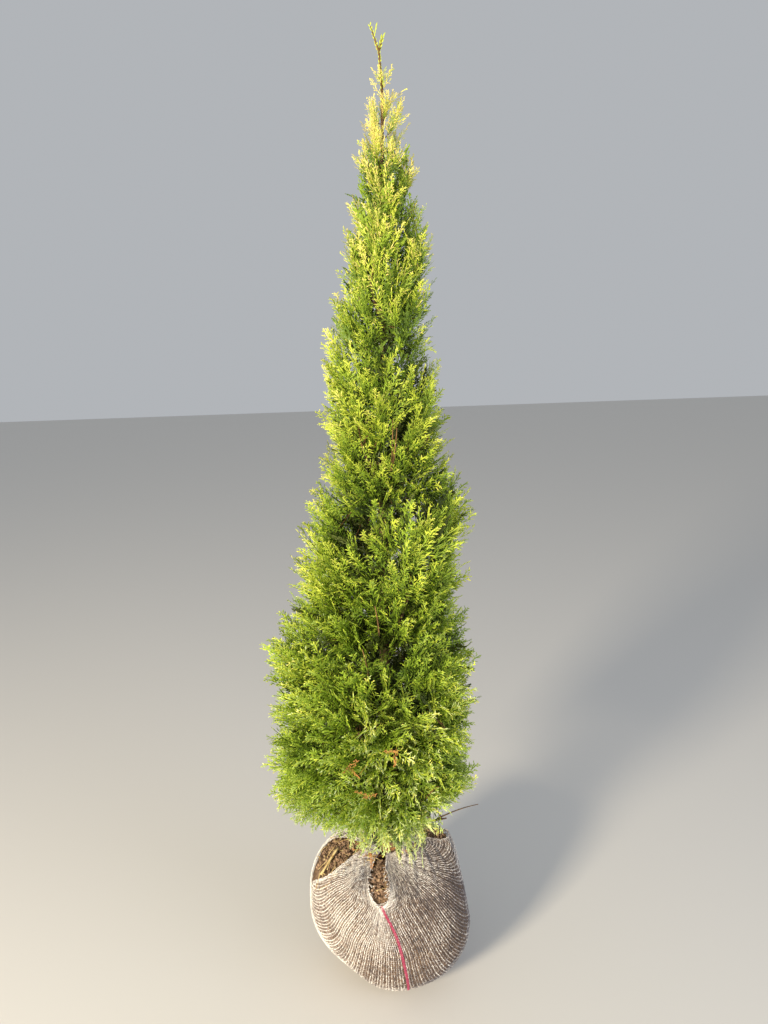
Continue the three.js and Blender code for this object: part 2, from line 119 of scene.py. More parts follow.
# The way to the sun, where the plant grew: sprays that face it get lighter tints, painted sunlight,
# and sprays that face away get darker ones, painted shade.
PAINTED_SUN_WAY = np.array([-0.62, -0.66, 0.42])

# Height, and how much lighter the sprays are there: painted sunlight on the lowest sprays, which
# hang in the crown's shade, and lighter up the spire. Then height, and how much darker they are in
# the crown's middle, where less than 0 is lighter.
LIGHTER = np.array([
    [290, 0.5], [330, 0.34], [420, 0.06], [900, 0.02], [1150, 0.09], [1300, 0.24], [1400, 0.37],
])
DARKER_MIDDLE = np.array([
    [360, 0], [420, -0.05], [540, -0.05], [640, 0.07], [860, 0.07], [960, 0],
])

# The scale leaves' tints, from deep shade to the tips, then golden, older and fresher ones: name,
# colour and slot.
TINTS = [
    ("shade", "374615", "foliage_shade"), ("deep", "5e7921", "foliage"),
    ("fresh", "8da82f", "foliage"), ("bright", "bcca44", "foliage"),
    ("tips", "dfdd6e", "foliage_tips"), ("gold", "e2d278", "foliage_tips"),
    ("old", "475219", "foliage_shade"), ("cool", "cedc98", "foliage_tips"),
    ("leafy", "a3bb54", "foliage"),
]
SHADE, DEEP, FRESH, BRIGHT, TIPS, GOLD, OLD, COOL, LEAFY = range(len(TINTS))

# The root ball.
BALL_RADIUS = 145
BALL_MIDDLE = 112
BALL_HALF_HEIGHT = 130
BALL_SQUARENESS = 2.1
SHOULDER_SQUARENESS = 3.7
NET_INSET = 1.2
SOIL_INSET = 4.5
LOWEST_THREAD = 0.3
LOWEST_SOIL = 0.4

# The net's stitches: wales and stitches across it, distance between wales, length of a stitch,
# and half a stitch's width. Then the yarn's tints, from the darkest.
WALES = 134
ROWS = 197
WALE_SPACING = 6.4
STITCH = 4.4
LOOP = 1.35
YARNS = [("grey", "6b6568"), ("fawn", "a59b97"), ("cream", "d9d1ca"), ("pale", "fbf8f3")]

# The net's openings: direction, inner end, outer end and width.
NET_GAPS = np.array([[184, 30, 143, 84], [31, 44, 118, 92], [112, 42, 124, 60]], float)

# The net's lip on the right, which stands up over the shoulder: its direction, spread and height,
# and how high it is by the share of the way up the net.
LIP_TURN, LIP_SPREAD, LIP_HEIGHT = 12, 30, 30
LIP_SWELL = np.array([
    [0.57, 0], [0.62, 0.4], [0.66, 0.85], [0.69, 1], [0.72, 0.85], [0.77, 0.35], [0.84, 0],
])
SOIL_LIP_SHARE = 0.8

# The slit at the front: how far up the net it is, as a share of the way from the middle of the
# underside to the middle of the top, its direction there, and half its width.
SLIT = np.array([
    [0.708, 262.5, 0], [0.714, 262.5, 6], [0.722, 262.3, 10], [0.735, 261.5, 14],
    [0.750, 260.5, 17], [0.765, 260, 18], [0.785, 259, 20], [0.81, 257, 18.5], [0.83, 256, 16],
    [0.86, 253, 12], [0.90, 250, 10], [0.95, 246, 6], [1.0, 246, 5],
])
FRAYED_ENDS = 44

# The marker's way up the net: as a share of the way up, and its direction there. Then the number
# of its stitches and its distance from the ball's axis.
MARKER = np.array([
    [0.29, 282.5], [0.40, 280], [0.51, 277], [0.596, 274], [0.658, 269.5], [0.69, 265.5],
    [0.714, 262.5],
])
MARKER_STEPS = 66
MARKER_RADIUS = 135

# Litter on the ball, in patches: number of crumbs or stalks, direction, spread to each side of it,
# and least and greatest distance from the axis.
CRUMB_PATCHES = [
    (900, 184, 27, 36, 136), (620, 257, 14, 36, 118), (420, 31, 26, 45, 114),
    (300, 112, 22, 45, 118),
]
STALK_PATCHES = [
    (40, 184, 26, 40, 132), (3, 258, 10, 60, 112), (16, 33, 24, 45, 112), (20, 212, 26, 30, 62),
]

# Dead sprays: at the front of the crown, and fallen round the gather.
DEAD_SPRAYS = np.array([
    [-46, -156, 492], [-34, -164, 500], [-52, -158, 505], [9, -168, 531], [16, -166, 522],
    [-25, -152, 446], [-38, -154, 452], [-24, -46, 252], [14, -36, 252], [30, -34, 251],
    [-50, -26, 251], [-38, -38, 251], [0, -30, 253], [-60, -8, 250], [44, -26, 250],
    [-30, -58, 250], [22, -44, 251],
], float)


def lerp(low, high, share):
    """The value at a share of the way from low to high."""
    return low + (high - low) * share


def length_of(vectors):
    """Each vector's length."""
    return np.linalg.norm(vectors, axis=-1)


def unit(vectors):
    """Each vector divided by its own length."""
    return vectors / np.maximum(np.linalg.norm(vectors, axis=-1, keepdims=True), 1e-12)


def level_way(turn):
    """The level direction that is an angle round from +X."""
    return np.stack([np.cos(turn), np.sin(turn), 0 * turn], -1)


def from_table(table, value, column=1):
    """A column of a table at a value of its first column, straight between the table's rows."""
    return np.interp(value, table[:, 0], table[:, column])


def band(value, *edges):
    """1 between the second and the third edge, fading to 0 at the first and at the fourth."""
    return np.interp(value, edges, [0, 1, 1, 0])


def evened_out(values, width):
    """A row of values, each replaced by the mean of an odd number of values round it."""
    padded = np.pad(values, width // 2, mode="edge")
    return np.convolve(padded, np.full(width, 1 / width), mode="valid")


def seeded(seed):
    """The source's random numbers: each is the last times 16807, within 2147483647."""
    state = seed
    while True:
        state = state * 16807 % 2147483647
        yield state / 2147483647


def trunk_at(height):
    """Middle of the trunk: it leans right by the 1.5th power of the height and sways by a sine."""
    share = np.maximum(0, (height - TRUNK_FOOT) / (TRUNK_TOP - TRUNK_FOOT))
    return np.stack(
        [TRUNK_LEAN * share**1.5, -TRUNK_SWAY * np.sin(math.pi * share), height + 0 * share], -1
    )


def trunk_radius(height):
    """A taper by the 0.9th power of the height, and a flare that dies away over the foot."""
    share = np.clip((height - TRUNK_FOOT) / (TRUNK_TOP - TRUNK_FOOT), 0, 1)
    flare = FLARE_WIDTH * np.exp(-(height - TRUNK_FOOT) / FLARE_HEIGHT)
    return lerp(TRUNK_FOOT_RADIUS, TRUNK_TOP_RADIUS, share**0.9) + flare


def parting_height(parting, radius, turn):
    """A bowl: the foot's height, a rise by the distance out, and a tilt to one side."""
    foot, rise, span, tilt, facing = parting
    share = radius / span
    lift = tilt * share * np.cos(turn - math.radians(facing))
    return foot + rise * (0.6 * share + 0.4 * share**2) + lift


def cell_of(level, index):
    """The space of one mass: a sector of its storey between two partings."""
    masses, turn, bough = STOREYS[level]
    half = math.pi / masses
    random = seeded(1009 + 211 * level + 37 * index)
    return {
        "level": level, "bough": bough, "half": half,
        "centre": math.radians(turn) + index * 2 * half,
        "swell": lerp(0.95, 1.02, next(random)), "phase": next(random),
        "floor": PARTINGS[level], "roof": PARTINGS[level + 1],
    }


def height_in(cell, across, radius, up):
    """Height in the mass's space: a share of the way from its floor to its roof."""
    turn = cell["centre"] + across * cell["half"]
    low = parting_height(cell["floor"], radius, turn)
    return lerp(low, parting_height(cell["roof"], radius, turn), up)


def outline_reach(height, turn):
    """The outline's distance from the trunk: its reach to the left and to the right, blended
    round the trunk by the cosine of the direction."""
    left, right = from_table(REACH, height, 1), from_table(REACH, height, 2)
    return (left + right) / 2 + (right - left) / 2 * np.cos(turn)


def reach_in(cell, across, up):
    """The mass's outer distance from the trunk, found by halving the way to it 14 times."""
    turn = cell["centre"] + across * cell["half"]
    bulge = cell["swell"] * (1 - 0.07 * across**2)
    radius = cell["floor"][2] + 0 * turn
    for _ in range(14):
        height = height_in(cell, across, radius, up)
        radius = (radius + bulge * outline_reach(height, turn)) / 2
    return radius


def place_in(cell, across, out, up):
    """A point of the mass's space: across it, out from the trunk as a share of the reach, up it."""
    across, out, up = np.broadcast_arrays(np.asarray(across, float), out, up)
    radius = out * reach_in(cell, across, up)
    height = height_in(cell, across, radius, up)
    turn = cell["centre"] + across * cell["half"]
    return trunk_at(height) + radius[..., None] * level_way(turn)


CELLS = [
    cell_of(level, index) for level, (masses, _, _) in enumerate(STOREYS) for index in range(masses)
]


def mesh_piece(name, points, triangles, material, slot, stands_for=(), smooth=False):
    """One mesh from points in millimetres and triangles, riding on the plant's body."""
    mesh = bpy.data.meshes.new(name)
    mesh.vertices.add(len(points))
    mesh.vertices.foreach_set("co", (points / 1000).astype(np.float32).ravel())
    mesh.loops.add(triangles.size)
    mesh.loops.foreach_set("vertex_index", triangles.astype(np.int32).ravel())
    mesh.polygons.add(len(triangles))
    mesh.polygons.foreach_set("loop_start", np.arange(0, triangles.size, 3, dtype=np.int32))
    mesh.polygons.foreach_set("use_smooth", np.full(len(triangles), smooth))
    mesh.update(calc_edges=True)
    mesh.materials.append(material)
    piece = bpy.data.objects.new(name, mesh)
    scene.collection.objects.link(piece)
    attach(piece, "root")
    if stands_for:
        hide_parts(*stands_for)


def joined(parts):
    """Several (points, triangles) as one, each part's triangles moved past the points before it."""
    starts = np.cumsum([0] + [len(points) for points, _ in parts[:-1]])
    points = np.concatenate([points for points, _ in parts])
    return points, np.concatenate([faces + start for (_, faces), start in zip(parts, starts)])


def ring_faces(steps, sides):
    """Triangles of a closed surface made of rings, each with the same number of points: two for
    each side between one ring and the next, and a fan at each end, round a point of its own. The
    two points come after the rings' points."""
    here, following = np.arange(sides), (np.arange(sides) + 1) % sides
    ring = np.arange(steps - 1)[:, None] * sides
    one, other = ring + here, ring + following
    walls = np.stack([one, other, other + sides, one, other + sides, one + sides], -1)
    first, top = steps * sides, (steps - 1) * sides
    foot = np.stack([here * 0 + first, following, here], -1)
    head = np.stack([here * 0 + first + 1, top + here, top + following], -1)
    return np.concatenate([walls.reshape(-1, 3), foot, head])


def tubes(paths, radii, sides):
    """Closed round limbs: a ring of the given radius square to each point of a path, and a fan
    over each end. Paths are (count, steps, 3), and radii (count, steps) or (count, steps,
    sides)."""
    count, steps = paths.shape[:2]
    along = unit(np.gradient(paths, axis=1))
    chord = unit(paths[:, -1] - paths[:, 0])
    upright = np.abs(chord[:, 2:]) > 0.8
    ref = np.where(upright, [[1.0, 0.0, 0.0]], [[0.0, 0.0, 1.0]])[:, None]
    across = unit(np.cross(ref, along))
    over = np.cross(along, across)
    angle = 2 * math.pi * np.arange(sides) / sides
    spoke = (
        np.cos(angle)[:, None] * across[:, :, None] + np.sin(angle)[:, None] * over[:, :, None]
    )
    radii = np.broadcast_to(radii if radii.ndim == 3 else radii[..., None], (count, steps, sides))
    rings = paths[:, :, None] + radii[..., None] * spoke
    points = np.concatenate([rings.reshape(count, -1, 3), paths[:, :1], paths[:, -1:]], 1)
    starts = np.arange(count) * (steps * sides + 2)
    faces = ring_faces(steps, sides)[None] + starts[:, None, None]
    return points.reshape(-1, 3), faces.reshape(-1, 3)


SLIVER_FACES = np.array([[0, 2, 1], [3, 1, 2], [0, 1, 3], [0, 3, 2]])


def sliver_mesh(corners):
    """Blades as (count, 4, 3) corners to points and triangles, four faces each."""
    faces = SLIVER_FACES[None] + 4 * np.arange(len(corners))[:, None, None]
    return corners.reshape(-1, 3), faces.reshape(-1, 3)


def curve_points(start, bend, end, steps):
    """Points on curves from start to end that are drawn towards bend (a quadratic curve)."""
    share = np.linspace(0, 1, steps)[:, None]
    start, bend, end = start[..., None, :], bend[..., None, :], end[..., None, :]
    return (1 - share) ** 2 * start + 2 * share * (1 - share) * bend + share**2 * end


def hex_colour(value):
    """An sRGB hex value as linear red, green and blue by the sRGB curve, with full alpha."""
    channels = [int(value[i:i + 2], 16) / 255 for i in (0, 2, 4)]
    return [c / 12.92 if c <= 0.04045 else ((c + 0.055) / 1.055) ** 2.4 for c in channels] + [1]


def add_node(material, kind, links=(), **settings):
    """One node with its settings, and links as (its input, node, that node's output)."""
    node = material.node_tree.nodes.new(kind)
    for key, value in settings.items():
        if key in node.inputs:
            node.inputs[key].default_value = value
        else:
            setattr(node, key, value)
    for socket, source, output in links:
        material.node_tree.links.new(source.outputs[output], node.inputs[socket])
    return node


def new_material(name):
    """A material without nodes."""
    material = bpy.data.materials.new(name)
    material.use_nodes = True
    material.node_tree.nodes.clear()
    return material


def finish_material(material, look, links=()):
    """The shader with its settings and links, and the material's output."""
    shader = add_node(material, "ShaderNodeBsdfPrincipled", links, **look)
    add_node(material, "ShaderNodeOutputMaterial", [("Surface", shader, "BSDF")])
    return material


def textured(name, kind, output, settings, strength, height, look, blend=(), stretch=None):
    """A material with one texture in the piece's own coordinates, whose scale is the number of
    its cells in a metre. An output of it raises the surface, by a height in metres, and blends
    the colours that are given, each after the value that it stands at."""
    material = new_material(name)
    source = add_node(material, "ShaderNodeTexCoord"), "Object"
    if stretch:
        stretched = add_node(material, "ShaderNodeMapping", [("Vector", *source)], Scale=stretch)
        source = stretched, "Vector"
    texture = add_node(material, kind, [("Vector", *source)], **settings)
    bump = add_node(
        material, "ShaderNodeBump", [("Height", texture, output)], Strength=strength,
        Distance=height,
    )
    links = [("Normal", bump, "Normal")]
    if blend:
        ramp = add_node(material, "ShaderNodeValToRGB", [("Fac", texture, output)])
        for stop, (place, colour) in zip(ramp.color_ramp.elements, blend):
            stop.color = hex_colour(colour)
            stop.position = place
        links.append(("Base Color", ramp, "Color"))
    return finish_material(material, look, links)


def scale_leaf(name, colour, roughness=0.55):
    """Thuja's scale leaves, grown: a waxy skin over small overlapping scales. The eye gets a soft
    gloss that breaks up every 2 mm, the size that the scales are drawn at. Dead leaves, dried,
    have lost their wax, and the eye gets almost no gloss."""
    return textured(
        name, "ShaderNodeTexVoronoi", "Distance", {"Scale": 500.0}, 0.35, 0.0004,
        {"Base Color": hex_colour(colour), "Roughness": roughness, "IOR": 1.45},
    )


def peeling_bark(name, light, dark, grain):
    """Thuja bark, grown: thin fibrous strips that run up the limb. The eye gets a dull brown with
    no gloss, in streaks 1000 / grain mm wide and seven times as long. Dead straw, dried, gives
    the eye the same streaks in a straw colour."""
    return textured(
        name, "ShaderNodeTexNoise", "Fac", {"Scale": grain, "Detail": 5.0, "Roughness": 0.65},
        0.6, 0.001, {"Roughness": 0.88}, [(0.36, dark), (0.64, light)], (1.0, 1.0, 0.14),
    )


def twisted_yarn(name, colour, roughness):
    """Jute and cotton yarn, spun and knitted: short fibres stand out of it, so the eye gets a dry,
    slightly fuzzy thread with no gloss. The fibres are drawn 1 mm apart, coarser than real ones,
    so that they show."""
    return textured(
        name, "ShaderNodeTexNoise", "Fac", {"Scale": 900.0, "Detail": 2.0}, 0.5, 0.0005,
        {"Base Color": hex_colour(colour), "Roughness": roughness, "Sheen Weight": 0.3},
    )


def crumbly_soil(name, dark, light):
    """Sandy loam with fine roots, dug and pressed: crumbs of 8 mm and less. The eye gets a dull
    brown, dark where it is moist, speckled with lighter dry grains."""
    return textured(
        name, "ShaderNodeTexNoise", "Fac", {"Scale": 120.0, "Detail": 6.0, "Roughness": 0.7},
        0.8, 0.002, {"Roughness": 0.97}, [(0.36, dark), (0.7, light)],
    )


def slivers(base, tip, normal, width, lift):
    """Blades of four faces from base to tip: a long diamond square to normal, widest past its
    middle, with a keel, because its two side corners are lifted."""
    side = unit(np.cross(normal, tip - base)) * (width / 2)[..., None]
    middle = lerp(base, tip, 0.56) + normal * lift
    return np.stack(np.broadcast_arrays(base, middle + side, middle - side, tip), -2)


def tilted(rng, shape, amount):
    """Directions about +Z that lean by a random amount."""
    return unit(rng.normal(0, amount, (*shape, 3)) * [1, 1, 0] + [0, 0, 1])


def spray_kind(rng, axes, twigs, broad):
    """One flat spray, 1 long, along x in the xy plane. Side axes leave the main axis by turns to
    the left and right at an angle that closes towards its tip, longest at a third of its length,
    and bend forward. Short twigs leave each side axis by turns in the same way."""
    index = np.arange(axes)
    share = (index + 0.55 + rng.uniform(-0.25, 0.25, axes)) / (axes + 0.2)
    sign = np.where(index % 2, 1.0, -1.0)
    reach = 0.44 * np.minimum(1, 0.45 + 1.9 * share) * (1 - share) ** 0.72
    reach = np.maximum(reach * rng.uniform(0.65, 1.2, axes), 0.07)
    angle = np.radians(lerp(50, 26, share) + rng.uniform(-5, 5, axes))
    climb = np.tan(np.radians(rng.normal(0, 6, axes)))
    root = np.stack([share, 0 * share, 0 * share], -1)

    def along_axis(distance):
        """Points at distances along the side axes, whose angle closes by 0.42 of itself."""
        heading = angle[:, None] * (1 - 0.42 * distance / reach[:, None])
        ways = [np.cos(heading), sign[:, None] * np.sin(heading), climb[:, None] + 0 * heading]
        return root[:, None] + distance[..., None] * np.stack(ways, -1)

    stations = along_axis(np.linspace(0, 1, 3)[None] * reach[:, None])
    wide = broad * rng.uniform(0.8, 1.0, (axes, 2))
    step = stations[:, 1:] - stations[:, :-1]
    axis_blades = slivers(
        stations[:, :-1], stations[:, 1:] + 0.16 * step, tilted(rng, (axes, 2), 0.22), wide,
        broad * 0.28,
    )
    axis_outward = np.repeat(share, 2) * 0.55 + np.tile([0.0, 0.35], axes)
    order = np.arange(twigs)
    along = 0.14 + 0.8 * (order + rng.uniform(-0.25, 0.25, (axes, twigs)) + 0.5) / twigs
    base = along_axis(along * reach[:, None])
    side = np.where((order + index[:, None]) % 2, 1.0, -1.0)
    length = 0.6 * reach[:, None] * (1 - along) ** 0.5 * np.minimum(1, 0.6 + along)
    length = np.clip(length * rng.uniform(0.75, 1.35, (axes, twigs)), 0.065, 0.19)
    heading = sign[:, None] * angle[:, None] * (1 - 0.42 * along)
    heading = heading + side * np.radians(rng.uniform(22, 34, (axes, twigs)))
    twig_climb = climb[:, None] + np.tan(np.radians(rng.normal(0, 7, (axes, twigs))))
    way = np.stack([np.cos(heading), np.sin(heading), twig_climb], -1)
    wide = broad * 0.85 * rng.uniform(0.8, 1.1, (axes, twigs))
    twig_blades = slivers(
        base, base + length[..., None] * way, tilted(rng, (axes, twigs), 0.28), wide, broad * 0.28,
    )
    twig_outward = np.clip(0.35 + 0.5 * along + 0.35 * share[:, None], 0, 1.2)
    lead = np.linspace(0.0, 1.0, 6)
    lead_points = np.stack([lead, 0 * lead, 0 * lead], -1)
    lead_blades = slivers(
        lead_points[:-1], lead_points[1:] + [0.03, 0, 0], tilted(rng, (5,), 0.2),
        np.full(5, broad), broad * 0.3,
    )
    blades = [axis_blades.reshape(-1, 4, 3), twig_blades.reshape(-1, 4, 3), lead_blades]
    return np.concatenate(blades), np.concatenate([axis_outward, twig_outward.ravel(), lead[:-1]])


def spray_kinds(rng, count, axes, twigs, broad):
    """Several kinds of spray that differ only by chance."""
    return [spray_kind(rng, axes, twigs, broad) for _ in range(count)]


def place_sprays(kinds, sprays, rng):
    """Copies of the kinds of spray: bent in their own plane and out of it, scaled, turned and
    moved. The first half of the kinds is for short sprays. Gives the blades, how far out on its
    spray each is, and the number of its spray."""
    root, along, normal, length = (sprays[key] for key in ("root", "along", "normal", "length"))
    half = len(kinds) // 2
    which = rng.integers(0, half, len(root)) + (length > LONG_SPRAY) * half
    bends = np.stack([
        rng.normal(0, 0.12, len(root)), rng.normal(0, 0.12, len(root)),
        rng.uniform(-0.2, 0.4, len(root)),
    ], -1)
    side = np.cross(normal, along)
    blades, outward, owner = [], [], []
    for kind, (shape, share) in enumerate(kinds):
        chosen = np.flatnonzero(which == kind)
        bend = bends[chosen][:, None, None]
        x, y, z = shape[None, ..., 0], shape[None, ..., 1], shape[None, ..., 2]
        y = y + bend[..., 0] * x**2
        z = z + bend[..., 1] * x**2 - bend[..., 2] * y**2
        local = (
            x[..., None] * along[chosen][:, None, None]
            + y[..., None] * side[chosen][:, None, None]
            + z[..., None] * normal[chosen][:, None, None]
        )
        size = length[chosen][:, None, None, None]
        blades.append((root[chosen][:, None, None] + size * local).reshape(-1, 4, 3))
        outward.append(np.tile(share, len(chosen)))
        owner.append(np.repeat(chosen, len(share)))
    return np.concatenate(blades), np.concatenate(outward), np.concatenate(owner)


def cell_area(cell):
    """Area of the mass's outer face, in square millimetres, summed over a 13 by 13 grid."""
    across, up = np.meshgrid(np.linspace(-1, 1, 13), np.linspace(0, 1, 13), indexing="ij")
    grid = place_in(cell, across, 1, up)
    one, other = grid[1:, :-1] - grid[:-1, :-1], grid[:-1, 1:] - grid[:-1, :-1]
    return length_of(np.cross(one, other)).sum()


def outline_at(points):
    """Distance of points from the trunk, and the outline's distance at their height and turn."""
    away = points - trunk_at(points[..., 2])
    turn = np.arctan2(away[..., 1], away[..., 0])
    return np.hypot(away[..., 0], away[..., 1]), outline_reach(points[..., 2], turn)


def hem_height(points):
    """The lowest that a spray hangs: the skirt's floor, higher at the left and at the right, where
    the net lies open, and lower at the front right, where the longest sprays droop over it."""
    away = points - trunk_at(points[..., 2])
    turn = np.degrees(np.arctan2(away[..., 1], away[..., 0])) % 360
    floor = parting_height(PARTINGS[0], np.hypot(away[..., 0], away[..., 1]), np.radians(turn))
    return floor + from_table(HEM, turn)


def kept_within(points, most):
    """Points drawn level towards the trunk, until none is past a share of the outline's reach."""
    distance, outline = outline_at(points)
    share = np.minimum(1, most * outline / np.maximum(distance, 1))[..., None]
    trunk = trunk_at(points[..., 2])
    return trunk + (points - trunk) * share


def growth_line(points, rng, spread):
    """The way that a spray grows: out from the trunk and up, more steeply the higher it stands,
    and down in the skirt."""
    height = points[..., 2]
    away = unit((points - trunk_at(height)) * [1, 1, 0])
    rise = np.radians(from_table(GROWTH_RISE, height) + rng.normal(0, spread, height.shape))
    around = np.stack([-away[..., 1], away[..., 0], 0 * height], -1)
    aside = np.sin(np.radians(rng.normal(0, spread * 1.3, height.shape)))[..., None]
    return unit(np.cos(rise)[..., None] * away + np.sin(rise)[..., None] * UP + aside * around)


def with_planes(root, tip, rng, spread):
    """Sprays from root to tip. Each lies in the upright plane through the trunk and its own line,
    rolled about that line by a random angle."""
    length = length_of(tip - root)
    along = unit(tip - root)
    away = unit((root - trunk_at(root[:, 2])) * [1, 1, 0])
    around = np.cross(UP, away)
    flat = unit(around - along * (around * along).sum(-1, keepdims=True))
    roll = rng.normal(0, math.radians(spread), len(root))[:, None]
    normal = flat * np.cos(roll) + np.cross(along, flat) * np.sin(roll)
    return {"root": root, "along": along, "normal": normal, "length": length}


def stem_points(cell):
    """Points along the limb that a mass grows from: its bough, or the trunk in the spire."""
    if cell["bough"]:
        return place_in(cell, 0, np.linspace(0.02, STEM_END, 14), 0.5)
    foot = parting_height(cell["floor"], 0, 0)
    return trunk_at(np.linspace(foot - 60, TRUNK_TOP - 4, 14))


def grow_cell(cell, rng):
    """Twigs from the mass's stem to patches of its outer face, spread by the golden share, and the
    sprays round the end of each. Gives the twigs' points and radii, the sprays' ends, and the
    number of each spray's twig."""
    patch_area = TWIG_PATCH * (SKIRT_PATCH_SHARE if cell["level"] == 0 else 1)
    twigs = max(6, round(cell_area(cell) / patch_area))
    order = np.arange(twigs)
    across = 1.04 * (2 * ((order * GOLDEN_SHARE + cell["phase"]) % 1) - 1)
    up = 0.5 + 0.5 * (2 * (order + 0.5) / twigs - 1)
    centre = place_in(cell, across, rng.uniform(0.93, 1.0, twigs), up)
    line = growth_line(centre, rng, 8)
    reach = reach_in(cell, across, up)
    size = np.interp(reach, [20, 50, 100, 200], [30, 46, 68, 84]) * rng.uniform(0.85, 1.15, twigs)
    end = centre - line * size[:, None]
    stem = stem_points(cell)
    wanted = end - line * (0.5 * reach)[:, None]
    start = stem[length_of(stem[None] - wanted[:, None]).argmin(1)]
    paths = curve_points(start, lerp(start, end, 0.5) + (end - start) * [0.1, 0.1, -0.1], end, 6)

    step = np.arange(TWIG_SPRAYS)
    share = lerp(0.35, 1.0, (step / (TWIG_SPRAYS - 1)) ** 0.8)
    turn = 2.4 * step + rng.uniform(0, 2 * math.pi, (twigs, 1))
    patch = np.minimum(math.sqrt(TWIG_PATCH) * 0.75, 0.62 * reach)[:, None]
    patch = patch * np.sqrt((TWIG_SPRAYS - 1 - step) / (TWIG_SPRAYS - 1))
    root = paths[:, (share * 5).round().astype(int)]
    radial = unit(centre - trunk_at(centre[:, 2]))[:, None]
    around = np.cross(UP, radial)
    disc = np.cos(turn)[..., None] * around + np.sin(turn)[..., None] * np.cross(radial, around)
    tip = centre[:, None] + patch[..., None] * disc
    depth = rng.uniform(-17, 7, (twigs, TWIG_SPRAYS, 1)) * np.minimum(1, reach / 110)[:, None, None]
    along = unit(unit(tip + radial * depth - root) + 0.4 * growth_line(tip, rng, 10))
    length = length_of(tip - root)
    length = np.minimum(length, size[:, None] * rng.uniform(1.0, 1.5, (twigs, TWIG_SPRAYS)))
    tip = kept_within(root + along * length[..., None], rng.uniform(0.95, 1.04, length.shape))
    tip[..., 2] = np.maximum(tip[..., 2], hem_height(tip) + rng.uniform(-8, 12, length.shape))
    thick = np.interp(reach, [30, 200], [0.9, 2.0])[:, None] * np.linspace(1, 0.45, 6)
    return paths, thick, root.reshape(-1, 3), tip.reshape(-1, 3), np.repeat(order, TWIG_SPRAYS)


def inner_sprays(count, rng):
    """Older sprays that close the crown to view, from the skirt's floor up to the spire and round
    the trunk by the golden share. Gives their ends."""
    order = np.arange(count)
    height = from_table(INNER_HEIGHTS, (order + 0.5) / count)
    turn = 2 * math.pi * ((order * GOLDEN_SHARE) % 1)
    outline = outline_reach(height, turn)
    out = (outline * rng.uniform(0.35, 0.84, count))[:, None]
    tip = trunk_at(height) + level_way(turn) * out
    tip[:, 2] = np.maximum(tip[:, 2], hem_height(tip) + 6)
    line = growth_line(tip, rng, 16)
    size = np.interp(outline, [20, 50, 200], [26, 50, 84]) * rng.uniform(0.8, 1.2, count)
    root = kept_within(tip - line * size[:, None], 0.65)
    return root, tip


def leader_at(height):
    """Middle of the leader: the trunk, and above it the straight way from its top to the fork."""
    top = trunk_at(np.array(float(TRUNK_TOP)))
    share = np.clip((height - TRUNK_TOP) / (FORK[2] - TRUNK_TOP), 0, 1)[..., None]
    return np.where(height[..., None] > TRUNK_TOP, lerp(top, FORK, share), trunk_at(height))


def leader_sprays(count, rng):
    """Loose sprays up the top of the leader, shorter and steeper towards the fork, and three
    that stand out on their own."""
    order = np.arange(count)
    height = np.interp((order + 0.5) / count, [0, 0.6, 1], [1360, 1428, 1474])
    turn = 2 * math.pi * ((order * GOLDEN_SHARE) % 1)
    rise = np.radians(np.interp(height, [1360, 1430, 1475], [54, 58, 70]) + rng.normal(0, 7, count))
    line = np.cos(rise)[:, None] * level_way(turn) + np.sin(rise)[:, None] * UP
    size = np.interp(height, [1360, 1428, 1475], [64, 42, 18]) * rng.uniform(0.75, 1.2, count)
    root = leader_at(height)
    apart = np.array([[32, 0, 1462], [31, 0, 1450], [33, 0, 1436]], float)
    ends = np.array([[47, -4, 1490], [12.5, -3, 1475], [58, 0, 1466]], float)
    return np.concatenate([root, apart]), np.concatenate([root + line * size[:, None], ends])


def prong_buds(rng):
    """Scale-clad shoots up the leader's bare end and the fork's prongs: close blades that stand
    off by turns to the left and right."""
    top = np.linspace(1434, FORK[2], 42)
    ways = [(leader_at(top), 0.34)] + [
        (lerp(FORK, end, np.linspace(0, 1, 14)[:, None]), 0.42) for end in FORK_ENDS
    ]
    buds = []
    for foot, spread in ways:
        count = len(foot)
        sign = np.where(np.arange(count) % 2, 1.0, -1.0)
        side = np.stack([sign, 0.6 * np.sin(1.7 * np.arange(count)), 0 * sign], -1)
        way = unit(unit(foot[-1] - foot[0]) + spread * side)
        size = rng.uniform(5, 8, count)[:, None]
        buds.append(slivers(foot, foot + way * size, FRONT, np.full(count, 1.9), 0.6))
    foot = lerp(FORK, FORK_ENDS[0], 0.6) + np.array([[0, 0, 0], [1.5, 0, 5], [2.5, 0, 10]])
    buds.append(slivers(foot, foot + [3.0, 0, 7.5], FRONT, np.full(3, 1.9), 0.6))
    return np.concatenate(buds)


